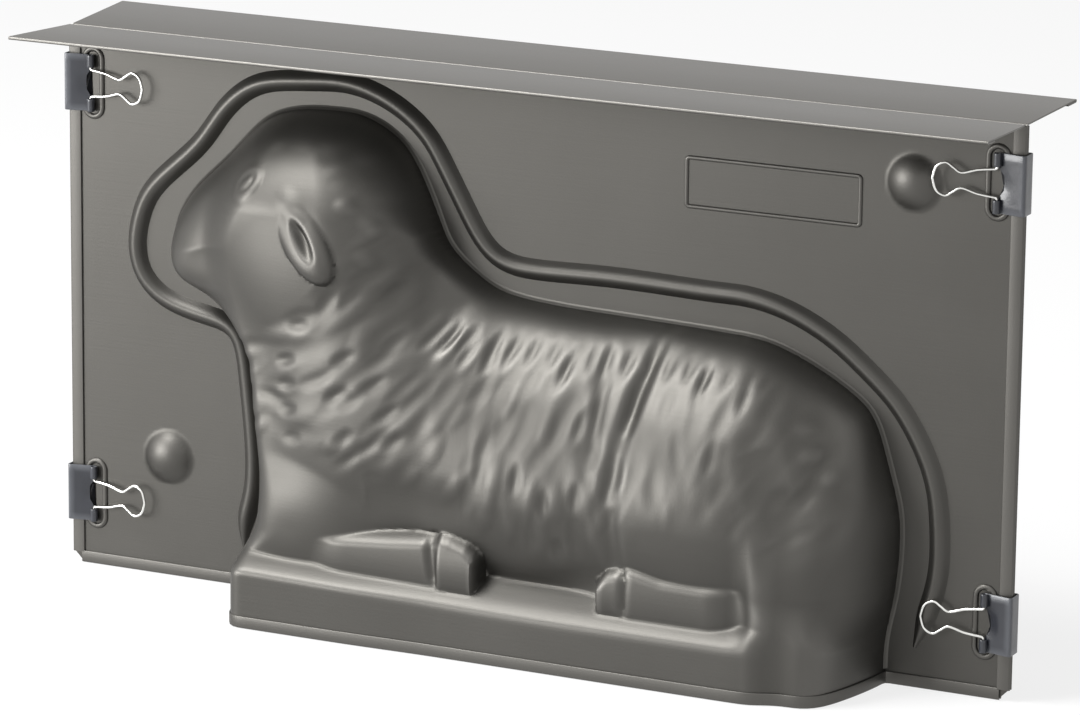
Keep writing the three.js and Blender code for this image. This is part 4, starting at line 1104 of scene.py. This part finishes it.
# %% Clip sizes
CLIP_LENGTH, CLIP_SPINE, CLIP_SHEET = 19.0, 6.7, 0.45
CLIP_SEAT_GAP = 0.3
TUBE_X, TUBE_BORE, TUBE_LENGTH, TUBE_SWEEP = 9.6, 1.6, 4.3, 290
LIP_FACE = PARTING_GAP / 2 + SHEET + CLIP_SEAT_GAP
CURL_RADIUS = TUBE_BORE / 2 + CLIP_SHEET / 2
TUBE_Y = LIP_FACE + CLIP_SHEET / 2 + CURL_RADIUS
SPINE_BEND = 0.7
NOTCH_RADIUS = 1.7
WIRE, WIRE_SIDE_PLAY, WIRE_BEND = 0.9, 0.35, 0.8
LEVER_REACH, LEVER_WAIST, LEVER_LOOP = 20.6, 4.8, 10.4
LEVER_TILT = 5
STRIP_CELLS, CURL_STEPS = 8, 22
NOTCH_FADE, NOTCH_RUN, LIP_CUT = 1.6, 3, 0.5
EDGE_WEAR, CORNER_WEAR, CORNER_BAND, TUBE_WEAR = 0.7, 0.8, 0.8, 0.15


def enamel():
    """Blue-black enamel: nearly black, glossy under a clear coat, with bare steel showing at worn edges."""
    recipe = Recipe("clip_enamel", Metallic=0.0, IOR=1.5, Coat_Roughness=0.12)
    place = recipe.node("ShaderNodeTexCoord", output="Object")
    clouds = recipe.noise(place, 160.0, 3)
    grain = recipe.noise(place, 1800.0, 2)
    wear = recipe.node("ShaderNodeAttribute", output="Fac", attribute_name="wear")
    colour = recipe.mix(clouds, (0.008, 0.009, 0.013, 1), (0.018, 0.02, 0.027, 1))
    recipe.feed(Base_Color=recipe.mix(wear * 0.35, colour, (0.22, 0.23, 0.25, 1)))
    recipe.feed(Roughness=0.24 + clouds * 0.12, Coat_Weight=0.3 - wear * 0.25)
    recipe.relief(grain * 0.06 + clouds * 0.5, 0.0003)
    return recipe.material


def nickel():
    """Bright nickel plate on wire: a pale metal with slight haze and fine scratches."""
    recipe = Recipe("lever_nickel", Metallic=1.0)
    place = recipe.node("ShaderNodeTexCoord", output="Object")
    haze = recipe.noise(place, 260.0, 3)
    scratch = recipe.noise(recipe.node("ShaderNodeMapping", {"Vector": place, "Scale": (1, 1, 9)}), 900.0, 2)
    recipe.feed(Base_Color=recipe.mix(haze, (0.66, 0.655, 0.63, 1), (0.84, 0.835, 0.81, 1)))
    recipe.feed(Roughness=0.12 + haze * 0.12 + scratch * 0.05)
    recipe.relief(scratch, 0.00002)
    return recipe.material


enamel_material, nickel_material = enamel(), nickel()

# %% Clip body


def strip_section(length, centre=0.0):
    """The clip's sheet cut across: its thickness one way and a length the other, with its corners rounded."""
    half, end = CLIP_SHEET / 2, length / 2 - CLIP_SHEET / 2
    turn = np.radians(np.linspace(-90, 90, 5))
    right = np.stack([half * np.sin(-turn), end + half * np.cos(turn)], axis=1)
    left = np.stack([half * np.sin(turn), -end - half * np.cos(turn)], axis=1)
    middle = np.linspace(end, -end, STRIP_CELLS + 1)[1:-1]
    back = np.stack([np.full(len(middle), -half), middle], axis=1)
    front = np.stack([np.full(len(middle), half), middle[::-1]], axis=1)
    return np.vstack([right, back, left, front]) + (0, centre)


def jaw_line():
    """One jaw's middle line: half the spine, a small bend, and the leaf down to the start of the curl."""
    spine_y = CLIP_SPINE / 2 - CLIP_SHEET / 2
    spine_x = CLIP_SHEET / 2
    leaf_end = np.array([TUBE_X, TUBE_Y - CURL_RADIUS])
    lean = np.arctan2(leaf_end[1] - spine_y, leaf_end[0] - spine_x)
    bend_centre = (spine_x + SPINE_BEND, spine_y - SPINE_BEND)
    bend = arc(bend_centre, SPINE_BEND, 180, 90 + np.degrees(lean), BEND_STEPS)
    spine = np.stack([np.full(4, spine_x), np.linspace(0, spine_y - SPINE_BEND, 4)], axis=1)[:-1]
    return np.vstack([spine, bend, bend[-1] + (leaf_end - bend[-1]) * np.linspace(0.2, 1, 7)[:, None]])


def clip_parts():
    """The leaves and spine as one strip, and the four tubes, in the clip's own frame. The strip's edge
    between the tubes is drawn back to a notch."""
    jaw = jaw_line()
    line = np.vstack([(jaw * (1, -1))[:0:-1], jaw])
    section = strip_section(CLIP_LENGTH)
    grid, faces, _ = carry(section, lift(line), lift(frame_along(line)), [0, 0, 1])
    from_lip = TUBE_X - grid[..., 0]
    inner_half = CLIP_LENGTH / 2 - TUBE_LENGTH
    in_middle = smooth_step(inner_half, inner_half - NOTCH_FADE, np.abs(grid[..., 2]))
    hold = np.clip(1 - from_lip / (NOTCH_RUN * NOTCH_RADIUS), 0, 1)
    round_off = NOTCH_RADIUS * np.sqrt(np.maximum(0, 1 - (grid[..., 2] / inner_half) ** 2))
    grid[..., 0] -= in_middle * hold * (LIP_CUT + round_off)
    edge = np.abs(np.abs(grid[..., 2]) - CLIP_LENGTH / 2) < CLIP_SHEET
    at_corner = np.abs(grid[..., 1]) > CLIP_SPINE / 2 - CORNER_BAND
    corner = np.exp(-((grid[..., 0] - CLIP_SHEET) ** 2)) * at_corner
    parts = [outward((grid, faces, np.maximum(edge * EDGE_WEAR, corner * CORNER_WEAR)))]
    for side in (-1, 1):
        curl = arc((TUBE_X, TUBE_Y), CURL_RADIUS, -90, -90 + TUBE_SWEEP, CURL_STEPS) * (1, side)
        for end in (-1, 1):
            cross = strip_section(TUBE_LENGTH, end * (CLIP_LENGTH - TUBE_LENGTH) / 2)
            across = lift(frame_along(curl))
            parts.append(outward(carry(cross, lift(curl), across, [0, 0, 1], wear=TUBE_WEAR)))
    return parts


def placed_parts(parts, place, turn):
    """Parts turned about the upright axis by an angle in degrees and moved to a place."""
    cos, sin = np.cos(np.radians(turn)), np.sin(np.radians(turn))
    spin = np.array([[cos, sin, 0], [-sin, cos, 0], [0, 0, 1]])
    return [(grid.reshape(-1, 3) @ spin + place, faces, np.ravel(wear)) for grid, faces, wear in parts]


# %% Lever wire
LEVER_REACH_SHARES = {"shoulder": 0.3, "waist": 0.55, "flare": 0.68, "widest": 0.8, "crown": 0.94}
LEVER_CROWN_SHARE = 0.36
ARM_SAMPLES = 40


def lever_line():
    """The wire's middle line in its own frame: foot in the tube, round bend, arm, waist and half the loop,
    then the same mirrored."""
    foot_end = CLIP_LENGTH / 2 - WIRE_SIDE_PLAY
    arm_z = CLIP_LENGTH / 2 - TUBE_LENGTH - WIRE_SIDE_PLAY - WIRE / 2
    s = LEVER_REACH_SHARES
    arm = smooth_line([
        (WIRE_BEND, arm_z),
        (LEVER_REACH * s["shoulder"], (2 * arm_z + LEVER_WAIST / 2) / 3),
        (LEVER_REACH * s["waist"], LEVER_WAIST / 2),
        (LEVER_REACH * s["flare"], (LEVER_WAIST + LEVER_LOOP) / 4),
        (LEVER_REACH * s["widest"], LEVER_LOOP / 2),
        (LEVER_REACH * s["crown"], LEVER_LOOP * LEVER_CROWN_SHARE),
        (LEVER_REACH, 0),
    ], ARM_SAMPLES)
    bend = arc((WIRE_BEND, arm_z + WIRE_BEND), WIRE_BEND, 180, 270, BEND_STEPS)
    foot = np.stack([np.zeros(4), np.linspace(foot_end, arm_z + WIRE_BEND, 4)], axis=1)[:-1]
    upper = np.vstack([foot, bend[:-1], arm])
    return np.vstack([upper, (upper * (1, -1))[-2::-1]])


def lever_parts():
    """A round wire carried along the line."""
    line = lever_line()
    wire = oval_section(WIRE / 2, WIRE / 2)
    return [outward(carry(wire, stood(line, 0), stood(frame_along(line), 0), [0, 1, 0]))]


# %% All clips and levers
for level, clip_z in CLIP_LEVELS.items():
    for hand, direction in (("left", -1), ("right", 1)):
        name = f"clip_{level}_{hand}"
        place = np.array([direction * (PLATE_WIDTH / 2 + CLIP_SHEET + CLIP_SEAT_GAP), 0, clip_z])
        turn = 0 if direction < 0 else 180
        parts = placed_parts(clip_parts(), place, turn)
        make_piece(f"{name}_body", parts, enamel_material, name, "clip_enamel", name)
        for face, side in (("front", -1), ("rear", 1)):
            own_side = side * -direction
            tilted = placed_parts(lever_parts(), [TUBE_X, own_side * TUBE_Y, 0], own_side * LEVER_TILT)
            parts = placed_parts(tilted, place, turn)
            lever = f"lever_{level}_{hand}_{face}"
            make_piece(f"{lever}_wire", parts, nickel_material, lever, "lever_nickel", lever)

# %% [markdown]
# ## Floor, world and lamps
#
# The floor is plain and pale. To the camera and in reflections it glows a little by itself, so it reads as
# white, and it still takes the object's shadow. The world is white to the camera and in reflections, and
# dimmer as a light, so that the lamps shape the form. The key lamp is high on the left, and a low one at
# the left gives the plate its sheen.

# %% Floor
FLOOR_SIZE = 12.0
FLOOR_DROP = 0.0002
FLOOR_GLOW = 0.8
WHITE, FLOOR_COLOUR = (1, 1, 1, 1), (0.86, 0.86, 0.86, 1)


def seen_directly(tree):
    """A socket that is 1 for camera, glossy and transmission rays and 0 for all others."""
    path = tree.nodes.new("ShaderNodeLightPath")
    either = path.outputs["Is Camera Ray"]
    for name in ("Is Glossy Ray", "Is Transmission Ray"):
        highest = tree.nodes.new("ShaderNodeMath")
        highest.operation = "MAXIMUM"
        tree.links.new(either, highest.inputs[0])
        tree.links.new(path.outputs[name], highest.inputs[1])
        either = highest.outputs[0]
    return either


def shown_mix(tree, plain_kind, shown_kind, output_kind, share):
    """Empties a tree and mixes two shaders. The second shows by a share to rays that see it directly."""
    tree.nodes.clear()
    kinds = (plain_kind, shown_kind, "ShaderNodeMixShader", "ShaderNodeMath", output_kind)
    plain, shown, mixed, scaled, output = (tree.nodes.new(kind) for kind in kinds)
    scaled.operation = "MULTIPLY"
    scaled.inputs[1].default_value = share
    shown.inputs["Color"].default_value = WHITE
    tree.links.new(seen_directly(tree), scaled.inputs[0])
    tree.links.new(scaled.outputs[0], mixed.inputs["Fac"])
    tree.links.new(plain.outputs[0], mixed.inputs[1])
    tree.links.new(shown.outputs[0], mixed.inputs[2])
    tree.links.new(mixed.outputs[0], output.inputs["Surface"])
    return plain


def pale_floor():
    """A pale diffuse floor, mixed with a white glow for the rays that see it directly."""
    material = bpy.data.materials.new("pale_floor")
    material.use_nodes = True
    kinds = ("ShaderNodeBsdfDiffuse", "ShaderNodeEmission", "ShaderNodeOutputMaterial")
    diffuse = shown_mix(material.node_tree, *kinds, FLOOR_GLOW)
    diffuse.inputs["Color"].default_value = FLOOR_COLOUR
    return material


edge = FLOOR_SIZE / 2
floor_mesh = bpy.data.meshes.new("floor")
corners = [(x * edge, y * edge, -FLOOR_DROP) for x, y in ((-1, -1), (1, -1), (1, 1), (-1, 1))]
floor_mesh.from_pydata(corners, [], [(0, 1, 2, 3)])
floor_mesh.materials.append(pale_floor())
floor = bpy.data.objects.new("floor", floor_mesh)
bpy.context.scene.collection.objects.link(floor)
print("floor:", FLOOR_SIZE, "m wide")

# %% World and lamps
WORLD_LIGHT = 0.38
# Place in metres, width and height in metres, power in watts.
LAMPS = {
    "key": ((-0.64, -0.52, 1.31), 0.6, 0.6, 29.0),
    "sheen": ((-0.85, -0.85, 0.26), 0.7, 0.6, 17.0),
    "fill": ((0.9, -1.2, 0.8), 0.9, 0.9, 1.5),
}
LAMP_TARGET = np.array([0.0, 0.0, 0.09])

world = bpy.data.worlds.new("studio")
bpy.context.scene.world = world
world.use_nodes = True
kinds = ("ShaderNodeBackground", "ShaderNodeBackground", "ShaderNodeOutputWorld")
lit = shown_mix(world.node_tree, *kinds, 1.0)
lit.inputs["Color"].default_value = WHITE
lit.inputs["Strength"].default_value = WORLD_LIGHT

for name, (place, width, height, power) in LAMPS.items():
    lamp = bpy.data.lights.new(name, "AREA")
    lamp.shape = "RECTANGLE"
    lamp.size, lamp.size_y, lamp.energy = width, height, power
    holder = bpy.data.objects.new(name, lamp)
    bpy.context.scene.collection.objects.link(holder)
    back = unit(np.array(place) - LAMP_TARGET)
    beside = unit(np.cross([0, 0, 1], back))
    pose = np.eye(4)
    pose[:3, :3] = np.stack([beside, np.cross(back, beside), back], axis=1)
    pose[:3, 3] = place
    holder.matrix_world = Matrix(pose)
    print("lamp", name, "at", place)

bpy.context.scene.view_settings.view_transform = "Standard"
